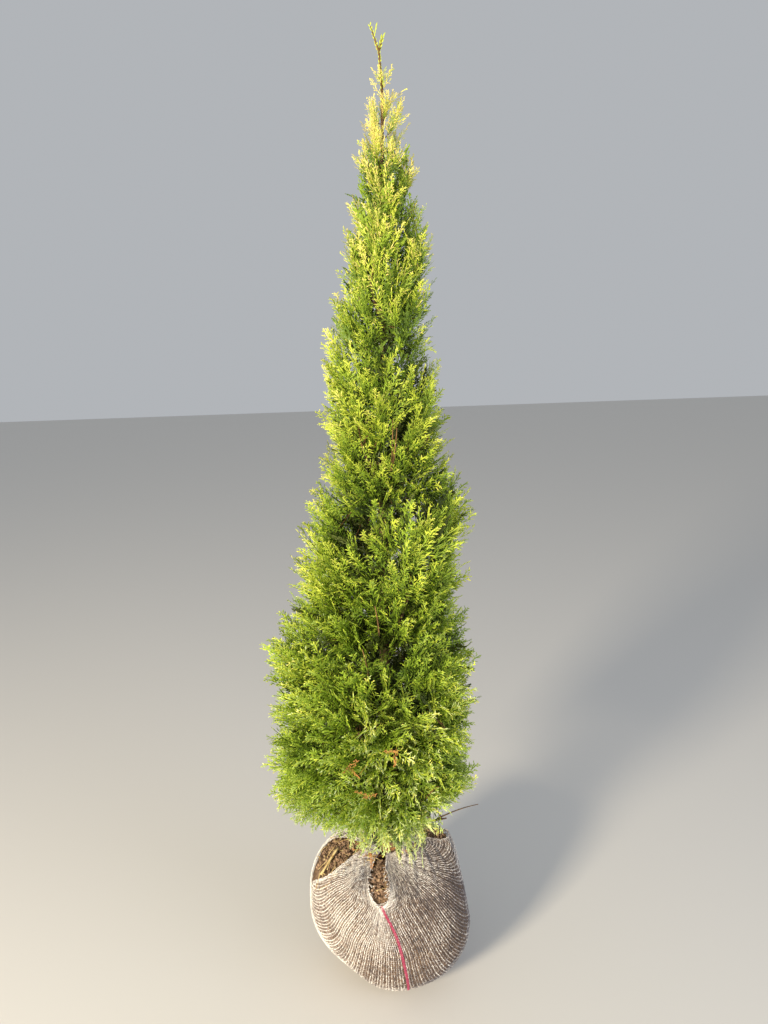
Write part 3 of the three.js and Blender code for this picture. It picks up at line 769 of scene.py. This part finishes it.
def crown_tones(blades, outward, twig_tone, spray_tone, rng):
    """How light each blade is, near 0 in deep shade and near 1 at the tips: by its twig, its
    spray, how far out it is on its spray, with paler tips and painted shade at the inner end, how
    far out it is in the crown, darker deeper in as painted shade, how it faces the sun that it grew
    in, lighter towards it as painted sunlight, and its height. Four places are darker: the upper
    right at the back and the sprays that droop at the lower right, both painted shade, then the
    lower left and the crown's middle. Higher up the tones differ less."""
    middle = blades.mean(1)
    across, height = middle[:, 0], middle[:, 2]
    distance, outline = outline_at(middle)
    # Facing the sun's way makes a blade lighter: painted sunlight.
    facing = (unit((middle - trunk_at(height)) * [1, 1, 0]) * PAINTED_SUN_WAY).sum(-1)
    # The tone rises out along the spray, for paler tips and as painted shade at the spray's inner
    # end, falls deeper in the crown as painted shade, and rises with height by LIGHTER, painted
    # sunlight low down.
    tone = (
        0.16 * twig_tone + 0.22 * spray_tone + 0.3 * outward + 0.04 * facing
        + 0.16 * rng.uniform(0, 1, len(blades))
        + 0.5 * np.clip(distance / outline - 0.8, -0.5, 0.2) + from_table(LIGHTER, height)
    )
    # The upper right at the back is darker: painted shade.
    behind = np.clip((across - 58) / 20, 0, 1) * (middle[:, 1] > -30)
    tone -= 0.3 * behind * band(height, 1120, 1160, 1320, 1350)
    # The sprays that droop at the lower right are darker: painted shade.
    tone -= 0.36 * (np.clip((across - 2) / 12, 0, 1) * np.clip((284 - height) / 14, 0, 1))
    tone -= 0.07 * np.clip((-60 - across) / 50, 0, 1) * band(height, 330, 400, 640, 760)
    tone -= np.exp(-((across - 5) / 55) ** 2) * from_table(DARKER_MIDDLE, height)
    return 0.52 + (tone - 0.52) * np.interp(height, [900, 1200], [1, 0.7])


def crown_tints(tone, height, rng):
    """The number of each blade's tint: by its tone, then golden for more of the light ones the
    higher they are, and fresher for more of them the lower they are."""
    tint = np.digitize(tone, [0.2, 0.35, 0.54, 0.74])
    golden = rng.uniform(0, 1, len(tone)) < np.interp(height, [1100, 1300, 1450], [0, 0.25, 0.6])
    tint[golden & (tone > 0.5)] = GOLD
    fresher = rng.uniform(0, 1, len(tone)) < np.interp(height, [320, 500, 900], [0.9, 0.6, 0])
    tint[fresher & (tint == TIPS)] = COOL
    tint[fresher & (tint == BRIGHT)] = LEAFY
    return tint


# The twigs and the places of the outer sprays, grown mass by mass.
rng = np.random.default_rng(27)
grown = [grow_cell(cell, rng) for cell in CELLS]
twig_paths, twig_radii, spray_roots, spray_tips, spray_twigs = zip(*grown)
first_twigs = np.cumsum([0] + [len(paths) for paths in twig_paths])
twig_tone = rng.uniform(0, 1, first_twigs[-1])
twig_of = np.concatenate([twigs + first for twigs, first in zip(spray_twigs, first_twigs)])
outer = with_planes(np.concatenate(spray_roots), np.concatenate(spray_tips), rng, 62)
inner = with_planes(*inner_sprays(INNER_SPRAYS, rng), rng, 80)

# Fine sprays are for the outside, coarse ones for the inside and loose ones for the leader. Blades
# that end past the outline are left out.
fine = spray_kinds(rng, 8, 9, 2, 0.033) + spray_kinds(rng, 8, 12, 3, 0.0235)
coarse = spray_kinds(rng, 3, 9, 2, 0.046) + spray_kinds(rng, 3, 8, 2, 0.062)
loose = spray_kinds(rng, 6, 7, 2, 0.05)
blades, outward, owner = place_sprays(fine, outer, rng)
tip_distance, tip_outline = outline_at(blades[:, 3])
inside = tip_distance < 1.03 * tip_outline + 1
blades, outward, owner = blades[inside], outward[inside], owner[inside]
inner_blades, _, inner_owner = place_sprays(coarse, inner, rng)
leader = with_planes(*leader_sprays(LEADER_SPRAYS, rng), rng, 60)
leader_blades, leader_outward, leader_owner = place_sprays(loose, leader, rng)
leader_tone = 0.3 * leader_outward + rng.uniform(0, 1, len(leader["root"]))[leader_owner]
spray_tone = rng.uniform(0, 1, len(outer["root"]))
tone = crown_tones(blades, outward, twig_tone[twig_of[owner]], spray_tone[owner], rng)
tint = crown_tints(tone, blades.mean(1)[:, 2], rng)

# The older sprays are fresh high up, where the crown is thin, and dull and dark lower down: older
# brownish foliage, darkened as painted shade inside the crown.
high_up = rng.uniform(900, 1150, INNER_SPRAYS) < inner["root"][:, 2]
inner_tint = np.where(
    high_up, rng.choice([DEEP, FRESH], INNER_SPRAYS), rng.choice([SHADE, OLD, OLD], INNER_SPRAYS),
)[inner_owner]

# The leader's own blades, by tint, and one set of pieces for each tint. Blades without area, of
# sprays that stand on the trunk's own middle line, are left out.
lit = leader_blades[leader_tone >= 0.5]
at_the_top = {
    BRIGHT: [leader_blades[leader_tone < 0.5], prong_buds(rng)], TIPS: [lit[::2]],
    GOLD: [lit[1::2]],
}
for number, (name, colour, slot) in enumerate(TINTS):
    chosen = np.concatenate([
        blades[tint == number], inner_blades[inner_tint == number], *at_the_top.get(number, []),
    ])
    square = np.cross(chosen[:, 1] - chosen[:, 0], chosen[:, 2] - chosen[:, 0])
    chosen = chosen[length_of(square) > LEAST_FACE]
    material = scale_leaf(f"scale_leaf_{name}", colour)
    for part, some in enumerate(np.array_split(chosen, math.ceil(len(chosen) / MOST_BLADES))):
        mesh_piece(f"sprays_{name}_{part + 1}", *sliver_mesh(some), material, slot, FOLIAGE_NODES)

# The twigs, the leader's fork of two thin prongs from the trunk's top, and the bare stems.
leader_foot = trunk_at(np.array(TRUNK_TOP - 6.0))
prongs = np.stack([
    np.stack([leader_foot, lerp(leader_foot, FORK, 0.5), FORK, lerp(FORK, end, 0.5), end])
    for end in FORK_ENDS
])
stem_foot, stem_head = BARE_STEMS[:, :3], BARE_STEMS[:, 3:]
within_crown = stem_head[:, :1] < FREE_STEM_FROM
stem_foot = np.where(within_crown, kept_within(stem_foot, 0.74), stem_foot)
stem_head = np.where(within_crown, kept_within(stem_head, 0.9), stem_head)
stem_bend = lerp(stem_foot, stem_head, 0.5) + rng.normal(0, 3, stem_foot.shape)
stem_radii = np.broadcast_to(np.linspace(1.3, 0.6, 7), (len(stem_foot), 7))
prong_radii = np.broadcast_to(np.array([1.9, 1.7, 1.5, 1.1, 0.6]), (2, 5))
young_bark = peeling_bark("young_bark", "8a6a3c", "5a3c22", 260.0)
mesh_piece("twigs", *joined([
    tubes(np.concatenate(twig_paths), np.concatenate(twig_radii), 3), tubes(prongs, prong_radii, 5),
    tubes(curve_points(stem_foot, stem_bend, stem_head, 7), stem_radii, 5),
]), young_bark, "bark", smooth=True)


def relief(radii, sides, seed):
    """Bark relief on a limb, a twentieth of its radius: long furrows that wander round the limb,
    as sines of the turn and of the height."""
    local = np.random.default_rng(seed)
    turn = 2 * math.pi * np.arange(sides) / sides
    rise = np.linspace(0, 1, len(radii))[:, None] * 40
    ridges = sum(
        np.sin(turn * k + local.uniform(0, 6) + 0.8 * np.sin(rise * local.uniform(0.3, 0.9)))
        for k in (3, 5, 8)
    )
    return (radii[:, None] * (1 + 0.05 * ridges))[None]


# The trunk and the boughs.
heights = lerp(TRUNK_FOOT - 3, TRUNK_TOP, np.linspace(0, 1, 150) ** 1.4)
limbs = [tubes(trunk_at(heights)[None], relief(trunk_radius(heights), 18, 3), 18)]
stem_share = np.linspace(0, STEM_END, 16)
for cell in CELLS:
    if cell["bough"]:
        path = place_in(cell, 0, stem_share, 0.5)[None]
        radius = np.interp(stem_share, [0, 0.3, STEM_END], [1, BOUGH_TAPER, 0.28]) * cell["bough"]
        limbs.append(tubes(path, relief(radius, 9, 5), 9))
bark = peeling_bark("peeling_bark", "8c6f52", "4c3526", 180.0)
mesh_piece("bark_limbs", *joined(limbs), bark, "bark", LIMB_NODES, smooth=True)


def ball_profile(inset):
    """The ball's outline from the middle of its flat underside to the middle of its top, drawn in
    by an inset: distance along it, radius and height. Its side is a superellipse, which is
    squarer above the ball's middle."""
    height = BALL_HALF_HEIGHT - inset
    floor_angle = -math.asin(((BALL_MIDDLE - inset) / height) ** (BALL_SQUARENESS / 2))
    angle = np.linspace(floor_angle, math.pi / 2, 3000)
    power = np.where(angle > 0, 2 / SHOULDER_SQUARENESS, 2 / BALL_SQUARENESS)
    rise = np.sign(angle) * np.abs(np.sin(angle)) ** power
    radius = np.append(0, (BALL_RADIUS - inset) * np.abs(np.cos(angle)) ** power)
    level = np.append(inset, BALL_MIDDLE + rise * height)
    steps = np.hypot(np.diff(radius), np.diff(level))
    return np.append(0, np.cumsum(steps)), radius, level


def ball_swell(turn, height):
    """How much wider the ball is in a direction: two waves round it less four flatter faces, all
    fading above its middle, and its upper right side drawn in."""
    above = (height - BALL_MIDDLE) / BALL_HALF_HEIGHT
    shape = 0.06 * np.sin(2 * turn + 3.28) + 0.059 * np.sin(3 * turn + 4.21)
    shape = shape - 0.055 * (1 - np.cos(4 * (turn - 4.495)))
    drawn = 0.079 * np.clip(1.7 * above, 0, 1) * np.maximum(0, np.cos(turn)) ** 2
    return 1 + np.minimum(1, 1 - above) * shape - drawn


def on_ball(profile, turn, distance, lift):
    """Points at a direction and at a distance along the profile, lifted square to the surface."""
    track, radius, level = profile
    around = np.interp(distance, track, radius)
    height = np.interp(distance, track, level)
    ahead = np.clip(distance + 2.0, 0, track[-1])
    behind = np.clip(distance - 2.0, 0, track[-1])
    outward = np.interp(ahead, track, level) - np.interp(behind, track, level)
    upward = np.interp(behind, track, radius) - np.interp(ahead, track, radius)
    length = np.hypot(outward, upward) + 1e-9
    reach = around * ball_swell(turn, height) + lift * outward / length
    return np.stack(
        [reach * np.cos(turn), reach * np.sin(turn), height + lift * upward / length], -1
    )


def gap_half(share, width):
    """Half the width of a gap along its length: a parabola that is widest past its middle."""
    skewed = np.clip(share, 0, 1) ** 1.6
    return width * 2 * skewed * (1 - skewed)


def in_gap(points):
    """Whether points lie over an opening of the net, above the ball's middle."""
    inside = np.zeros(points.shape[:-1], bool)
    for turn, inner, outer, width in NET_GAPS:
        angle = math.radians(turn)
        along = points[..., 0] * math.cos(angle) + points[..., 1] * math.sin(angle)
        aside = points[..., 1] * math.cos(angle) - points[..., 0] * math.sin(angle)
        half = gap_half((along - inner) / (outer - inner), width)
        inside |= (np.abs(aside) < half) & (points[..., 2] > BALL_MIDDLE + 20)
    return inside


net_profile = ball_profile(NET_INSET)
top_track = net_profile[0][-1]


def lip_rise(turn, share):
    """How far the net stands up over the ball's right shoulder, by its direction and its share of
    the way up: a bell curve round the ball that makes the shoulder square."""
    away = (np.degrees(turn) - LIP_TURN + 180) % 360 - 180
    swell = from_table(LIP_SWELL, share)
    return (LIP_HEIGHT * np.exp(-((away / LIP_SPREAD) ** 2)) * swell)[..., None] * UP


def cloth_point(u, v, lift):
    """A point of the net, which is a flat cloth drawn up round the ball: its distance from the
    cloth's middle becomes the distance along the profile from the middle of the underside, and
    its direction stays. Near the slit the threads are first drawn together, by a bell curve of
    their distance from it, and then parted round it. Towards the gather the cloth lies in folds,
    which are two sines of that distance."""
    distance = np.hypot(u, v)
    turn = np.arctan2(v, u)
    share = distance / top_track
    seam = np.radians(from_table(SLIT, share))
    radius = np.maximum(np.interp(distance, net_profile[0], net_profile[1]), 1)
    across = ((turn - seam + math.pi) % (2 * math.pi) - math.pi) * radius
    rise = np.clip((share - 0.5) / 0.214, 0, 1)
    drawn = 0.85 * rise**2 * (3 - 2 * rise)
    across = across * (1 - drawn * np.exp(-((across / 55) ** 2)))
    half = from_table(SLIT, share, 2)
    across = across + np.sign(across) * half * np.clip(1 - np.abs(across) / 70, 0, 1)
    folds = np.clip((share - 0.62) / 0.2, 0, 1) * (np.sin(across / 3.1) + np.sin(across / 7.3 + 1))
    turn = seam + across / radius
    place = on_ball(net_profile, turn, np.minimum(distance, top_track - 1), lift + 0.8 * folds)
    return place + lip_rise(turn, share)


def surface_at(x, y, lift, lip=SOIL_LIP_SHARE):
    """The point of the ball's upper side over x and y, found in four steps, with a share of the
    rise of the net's lip: all of it on the net, less on the soil below."""
    track, radius, level = net_profile
    upper = level > BALL_MIDDLE
    turn, wanted, height = np.arctan2(y, x), np.hypot(x, y), np.full(np.shape(x), 220.0)
    for _ in range(4):
        around = wanted / ball_swell(turn, height)
        distance = np.interp(-around, -radius[upper], track[upper])
        height = np.interp(distance, track, level)
    return on_ball(net_profile, turn, distance, lift) + lip * lip_rise(turn, distance / track[-1])


def strand(points, normal, wide, high, overlap):
    """A thread along points: blades from each to the next, each overlapping its neighbours."""
    step = np.diff(points, axis=-2)
    first, second = points[..., :-1, :] - overlap * step, points[..., 1:, :] + overlap * step
    return slivers(first, second, normal[..., :-1, :], np.full(step.shape[:-1], wide), -high)


def knitted(rng):
    """The net's stitches: along each wale two threads meet in a loop at every stitch, and between
    the wales a thinner thread crosses by turns up and down. Gives parts, each of them blades, the
    numbers of their wales, and whether they cross."""
    wales = (np.arange(WALES) - WALES // 2 + 0.5) * WALE_SPACING
    u, v = np.meshgrid(wales, (np.arange(ROWS) - ROWS // 2) * STITCH, indexing="ij")
    u = u + rng.normal(0, 0.5, (WALES, 1)) + rng.normal(0, 0.3, u.shape)
    middle_line = cloth_point(u, v, rng.uniform(-0.6, 0.6, u.shape))
    normals = unit(cloth_point(u, v, 3.0) - middle_line)
    sides = cloth_point(u - LOOP, v, 0.2), cloth_point(u + LOOP, v, 0.2)
    from_axis = np.hypot(middle_line[..., 0], middle_line[..., 1])
    distance = np.hypot(u, v)
    kept = (distance < top_track - 8) & ((from_axis > 24) | (distance < 0.4 * top_track))
    kept &= ~in_gap(middle_line) & (distance > 0)
    run = kept[:, :-1] & kept[:, 1:]
    run &= length_of(middle_line[:, 1:] - middle_line[:, :-1]) < 2 * STITCH
    wide = rng.uniform(0.6, 1.02, run.shape)
    number = np.broadcast_to(np.arange(WALES)[:, None], run.shape)
    lifted = middle_line + 0.7 * normals
    parts = []
    for line in sides:
        step = lifted[:, 1:] - line[:, :-1]
        blade = slivers(
            line[:, :-1] - 0.2 * step, lifted[:, 1:] + 0.25 * step, normals[:, :-1], wide, -0.6,
        )
        shown = run & (length_of(step) < 2 * STITCH)
        parts.append((blade[shown], number[shown], False))
    spacing = length_of(middle_line[:-1] - middle_line[1:])
    open_enough = ((spacing > 2.6) & (spacing < 1.7 * WALE_SPACING))[:, :-1]
    rising = (np.arange(ROWS - 1) % 2 == 0)[None, :]
    for lower, upper, chosen in (
        (middle_line[:-1, :-1], middle_line[1:, 1:], run[:-1] & kept[1:, 1:] & rising),
        (middle_line[1:, :-1], middle_line[:-1, 1:], run[1:] & kept[:-1, 1:] & ~rising),
    ):
        length = length_of(upper - lower)
        chosen = chosen & open_enough & (length < 1.8 * WALE_SPACING)
        blade = slivers(lower, upper, normals[:-1, :-1], np.full(length.shape, 0.7), -0.4)
        parts.append((blade[chosen], number[:-1][chosen], True))
    return parts


def thread_round(turn, share, low, high, wide, keel, overlap=0.2):
    """A thread laid on the net, by its directions and its shares of the way up. It is lifted off
    the net by low, and faces the way from there to the points that are lifted by high."""
    line = on_ball(net_profile, turn, share * top_track, low)
    above = on_ball(net_profile, turn, share * top_track, high)
    return strand(line, unit(above - line), wide, keel, overlap)


def gap_hem(gap, strand_number, rng):
    """One thread round the edge of an opening, a little further out for each one in the hem: up
    one side of it and back down the other, with the opening's half width to each side."""
    turn, inner, outer, width = gap
    angle = math.radians(turn)
    share = np.concatenate([np.linspace(0.02, 0.985, 70), np.linspace(0.985, 0.02, 70)])
    wander = rng.normal(0, 0.5, share.shape) + 1.4 * strand_number
    aside = np.repeat([1.0, -1.0], 70) * (gap_half(share, width) + wander)
    along = lerp(inner, outer, share)
    x = along * math.cos(angle) - aside * math.sin(angle)
    y = along * math.sin(angle) + aside * math.cos(angle)
    edge = surface_at(x, y, 1.6 - 0.5 * strand_number, 1)
    return strand(edge, unit(surface_at(x, y, 4.0, 1) - edge), 1.9, 0.7, 0.2)


def net_radius(share):
    """The net's radius at a share of the way up it, before the ball's swell."""
    return np.interp(share * top_track, net_profile[0], net_profile[1])


def slit_turn(share, aside):
    """Direction of a point at a distance to the right of the slit's middle line."""
    return np.radians(from_table(SLIT, share)) + aside / net_radius(share)


def slit_hem(side, strand_number, rng):
    """One thread up a side of the slit, half the slit's width from its middle line."""
    share = np.linspace(0.709, 0.93, 60)
    half = evened_out(from_table(SLIT, share, 2) + 0.9 * strand_number, 5)
    turn = slit_turn(share, side * half) + rng.normal(0, 0.4, 60) / net_radius(share)
    return thread_round(turn, share, 1.6, 4.0, 1.5, 0.6)


def frayed_ends(rng):
    """Frayed ends that hang into the slit, most of them from its right side, each bowed up by half
    a sine."""
    one_each, along = (FRAYED_ENDS, 1), np.linspace(0, 1, 5)
    share = rng.uniform(0.716, 0.87, one_each) + along * rng.normal(-0.006, 0.012, one_each)
    side = np.where(rng.uniform(0, 1, one_each) < 0.7, 1.0, -1.0)
    inward = along * rng.uniform(3, 13, one_each)
    turn = slit_turn(share, side * (from_table(SLIT, share, 2) + 1.5 - inward))
    rise = 1.4 + rng.uniform(0.5, 3, one_each) * np.sin(np.linspace(0, math.pi, 5))
    return thread_round(turn, share, rise, rise + 2, 1.1, 0.5, 0.15).reshape(-1, 4, 3)


def lumps(points, size, seed):
    """Smooth random lumps, mostly from -1 to 1: eight crossing waves of about the given size."""
    local = np.random.default_rng(seed)
    total = np.zeros(points.shape[:-1])
    for _ in range(8):
        way = unit(local.normal(size=3)) * local.uniform(0.7, 1.4) * 2 * math.pi / size
        total += np.sin(points @ way + local.uniform(0, 6.28))
    return total / 4


# The net: its stitches, the hems of its openings and of the slit, and the frayed ends.
net_rng = np.random.default_rng(5)
net_parts = knitted(net_rng)
hems = [gap_hem(gap, k, net_rng) for gap in NET_GAPS for k in range(3)]
hems += [slit_hem(side, k, net_rng) for side in (1.0, -1.0) for k in range(2)]
net_parts += [(hem, np.zeros(len(hem), int), False) for hem in hems]
frayed = frayed_ends(net_rng)
net_parts.append((frayed, net_rng.integers(0, WALES, len(frayed)), False))
threads = np.concatenate([blades for blades, _, _ in net_parts])
thread_wales = np.concatenate([numbers for _, numbers, _ in net_parts])
crosses = np.concatenate([np.full(len(blades), across) for blades, _, across in net_parts])
threads[..., 2] = np.maximum(threads[..., 2], LOWEST_THREAD)

# The yarn's tints, dealt out by wale, by patch and by side: greyer where it lay in the damp,
# darker towards the right as painted shade on the side away from the light, and darker for the
# threads that cross, painted shade between the wales.
centres = threads.mean(1)
yarn_tone = (
    0.45 * net_rng.uniform(0, 1, WALES)[thread_wales] + 1.0 * net_rng.uniform(0, 1, len(threads))
    + 0.25 * lumps(centres, 90, 11) - 0.0026 * centres[:, 0] - 0.4 * crosses
)
yarn_tint = np.digitize(yarn_tone, [0.3, 0.6, 0.9])
for number, (name, colour) in enumerate(YARNS):
    mesh_piece(
        f"net_threads_{name}", *sliver_mesh(threads[yarn_tint == number]),
        twisted_yarn(f"{name}_net_yarn", colour, 0.95), "net_thread", ["root_ball_net"],
    )

# The marker: one wale of pink yarn, from under the ball up to the slit's lower end.
marker_share = np.linspace(MARKER[0, 0], MARKER[-1, 0], MARKER_STEPS)
marker_turn = evened_out(np.radians(from_table(MARKER, marker_share)), 9)
zigzag = 0.6 * np.cos(math.pi * np.arange(MARKER_STEPS))
marker = np.concatenate([
    thread_round(marker_turn + (offset + zigzag) / MARKER_RADIUS, marker_share, 1.5, 3.0, 1.6, 0.7)
    for offset in (-1.5, 0.0, 1.5)
])
marker[..., 2] = np.maximum(marker[..., 2], LOWEST_THREAD)
pink = twisted_yarn("pink_marker_yarn", "b8315f", 0.85)
mesh_piece("marker_thread", *sliver_mesh(marker), pink, "marker_thread")


def soil_mesh():
    """The soil: a grid of directions and distances along the ball's profile, raised by lumps of
    three sizes and, above the shoulder, by crumbs and a share of the net's lip, and closed by a
    fan at each pole."""
    profile = ball_profile(SOIL_INSET)
    length = profile[0][-1]
    turn, track = np.meshgrid(
        np.linspace(0, 2 * math.pi, 241)[:-1], np.linspace(2, length - 2, 140),
    )
    soil = on_ball(profile, turn, track, 0.0)
    bumps = 1.2 * lumps(soil, 38, 1) + 0.9 * lumps(soil, 15, 2) + 0.7 * np.abs(lumps(soil, 7, 3))
    soil = on_ball(profile, turn, track, bumps)
    mound = SOIL_LIP_SHARE * lip_rise(turn, track / length)[..., 2]
    top_share = np.clip((track / length - 0.62) / 0.2, 0, 1)
    crumbs = np.maximum(0, lumps(soil, 7, 4)) * 3.5 + np.maximum(0, lumps(soil, 21, 6)) * 5
    soil[..., 2] += top_share * (crumbs - 7.5) + mound
    soil[..., 2] = np.maximum(soil[..., 2], LOWEST_SOIL)
    poles = np.array([[0, 0, LOWEST_SOIL], [0, 0, soil[-1, :, 2].mean()]])
    return np.concatenate([soil.reshape(-1, 3), poles]), ring_faces(*turn.shape)


# The soil ball is kept darker than the dry crumbs: moist soil, and painted shade of the net's
# threads over it.
moist_and_shaded_soil = crumbly_soil("crumbly_soil", "3e2d22", "977a5d")
mesh_piece("soil_ball", *soil_mesh(), moist_and_shaded_soil, "soil", ["root_ball_soil"], smooth=True)

# Litter on the soil and on the net's gathers: crumbs, dry stalks, a flat straw and dead sprays.
litter_rng = np.random.default_rng(8)


def scattered(patches):
    """Places on the ball's upper side, spread evenly over patches by the square root of a random
    share of their area."""
    places = []
    for count, turn, spread, nearest, furthest in patches:
        angle = np.radians(turn + litter_rng.uniform(-spread, spread, count))
        away = np.sqrt(litter_rng.uniform(nearest**2, furthest**2, count))
        places.append((away * np.cos(angle), away * np.sin(angle)))
    return (np.concatenate(part) for part in zip(*places))


def crumb_mesh(middle, size, rng):
    """Crumbs of eight faces: six corners on the axes at uneven distances, turned at random."""
    axes = np.concatenate([np.eye(3), -np.eye(3)])
    corners = axes[None] * rng.uniform(0.5, 1, (len(middle), 6, 1))
    first = unit(rng.normal(size=(len(middle), 3)))
    second = unit(np.cross(first, unit(rng.normal(size=(len(middle), 3)))))
    basis = np.stack([first, second, np.cross(first, second)], 1)
    points = middle[:, None] + size[:, None, None] * (corners @ basis)
    ring = [0, 1, 3, 4, 0]
    faces = [[ring[k], ring[k + 1], 2] for k in range(4)]
    faces += [[ring[k + 1], ring[k], 5] for k in range(4)]
    starts = 6 * np.arange(len(middle))[:, None, None]
    return points.reshape(-1, 3), (np.array(faces)[None] + starts).reshape(-1, 3)


x, y = scattered(CRUMB_PATCHES)
crumb_size = 1.2 + 3.2 * litter_rng.uniform(0, 1, len(x)) ** 2
crumbs_at = surface_at(x, y, -6.0 + 0 * x) + litter_rng.normal(0, 1.2, (len(x), 3))
dry_soil = crumbly_soil("dry_crumbs", "6b5140", "d6b594")
mesh_piece("soil_crumbs", *crumb_mesh(crumbs_at, crumb_size, litter_rng), dry_soil, "soil")

x, y = scattered(STALK_PATCHES)
heading = litter_rng.uniform(0, 2 * math.pi, len(x))
half_length = litter_rng.uniform(4, 15, len(x))
reach_x, reach_y = half_length * np.cos(heading), half_length * np.sin(heading)
stalk_start = surface_at(x - reach_x, y - reach_y, litter_rng.uniform(-4, 1, len(x)))
stalk_end = surface_at(x + reach_x, y + reach_y, litter_rng.uniform(-4, 3, len(x)))
stalk_bend = lerp(stalk_start, stalk_end, 0.5) + litter_rng.normal(0, 2, (len(x), 3)) + [0, 0, 3]
stalk_paths = curve_points(stalk_start, stalk_bend, stalk_end, 5)
stalk_radii = litter_rng.uniform(0.35, 0.8, (len(x), 1)) * np.ones(5)

# The flat straw: a tube of eight sides that is wide where two of them are and thin elsewhere.
straw_foot = surface_at(-119.0, -38.0, 3.0)
straw_head = surface_at(-89.0, -4.0, 6.0)
straw_path = curve_points(straw_foot, lerp(straw_foot, straw_head, 0.5) + [0, 0, 2], straw_head, 7)
straw_radii = np.broadcast_to(np.where(np.arange(8) % 4 == 0, 2.6, 0.9), (1, 7, 8))
dry_straw = peeling_bark("dry_straw", "e3cf96", "a5834f", 150.0)
mesh_piece("dry_stalks", *joined([
    tubes(stalk_paths, stalk_radii, 4), tubes(straw_path[None], straw_radii, 8),
]), dry_straw, "foliage_dry", smooth=True)

dead_rng = np.random.default_rng(3)
dead_way = unit(dead_rng.normal(size=DEAD_SPRAYS.shape) + [0, -0.5, 0.1])
dead_size = dead_rng.uniform(22, 34, len(DEAD_SPRAYS))[:, None]
half_spray = dead_way * dead_size * 0.5
dead = with_planes(DEAD_SPRAYS - half_spray, DEAD_SPRAYS + half_spray, dead_rng, 80)
dead_blades, _, _ = place_sprays(spray_kinds(dead_rng, 4, 7, 2, 0.06), dead, dead_rng)
dead_leaf = scale_leaf("dead_scale_leaf", "bb834a", 0.8)
mesh_piece("dead_sprays", *sliver_mesh(dead_blades), dead_leaf, "foliage_dry")

# The floor, the light and the camera.
floor_mesh = bpy.data.meshes.new("floor")
floor_mesh.from_pydata([(-8, -8, 0), (8, -8, 0), (8, 8, 0), (-8, 8, 0)], [], [(0, 1, 2, 3)])
floor = bpy.data.objects.new("floor", floor_mesh)
scene.collection.objects.link(floor)
pale_look = {"Base Color": hex_colour("d5d3cf"), "Roughness": 0.8}
floor_mesh.materials.append(finish_material(new_material("pale_floor"), pale_look))

world = bpy.data.worlds.new("studio")
world.use_nodes = True
scene.world = world
background = world.node_tree.nodes["Background"]
background.inputs["Color"].default_value = hex_colour("dfe3e8")
background.inputs["Strength"].default_value = 0.6


def softbox(name, place, aim, size, power, colour):
    """A square area light at a place, turned to its aim: tilted by the slope of the way there, and
    then turned to its direction."""
    data = bpy.data.lights.new(name, "AREA")
    data.size = size
    data.energy = power
    data.color = hex_colour(colour)[:3]
    lamp = bpy.data.objects.new(name, data)
    scene.collection.objects.link(lamp)
    back = np.array(place, float) - aim
    flat = math.hypot(back[0], back[1])
    lamp.location = place
    lamp.rotation_euler = (math.atan2(flat, back[2]), 0, math.atan2(back[1], back[0]) + math.pi / 2)


softbox("key", (-2.1, -2.5, 1.4), (0, 0, 0.6), 0.6, 180, "fff0d4")
softbox("bounce", (0.3, -2.0, 0.3), (0, 0, 0.4), 0.9, 9, "fff2e0")
softbox("fill", (2.2, -1.5, 1.6), (0, 0, 0.7), 1.8, 24, "e6eeff")

camera_data = bpy.data.cameras.new("photo_camera")
camera_data.lens = 27.03
camera_data.sensor_width = 36
camera = bpy.data.objects.new("photo_camera", camera_data)
camera.location = (0.012, -1.18, 1.17)
camera.rotation_mode = "XYZ"
tilted_down = Matrix.Rotation(math.radians(75.1), 4, "X")
camera.rotation_euler = (tilted_down @ Matrix.Rotation(math.radians(-2.0), 4, "Z")).to_euler()
scene.collection.objects.link(camera)
scene.camera = camera
scene.view_settings.view_transform = "Standard"
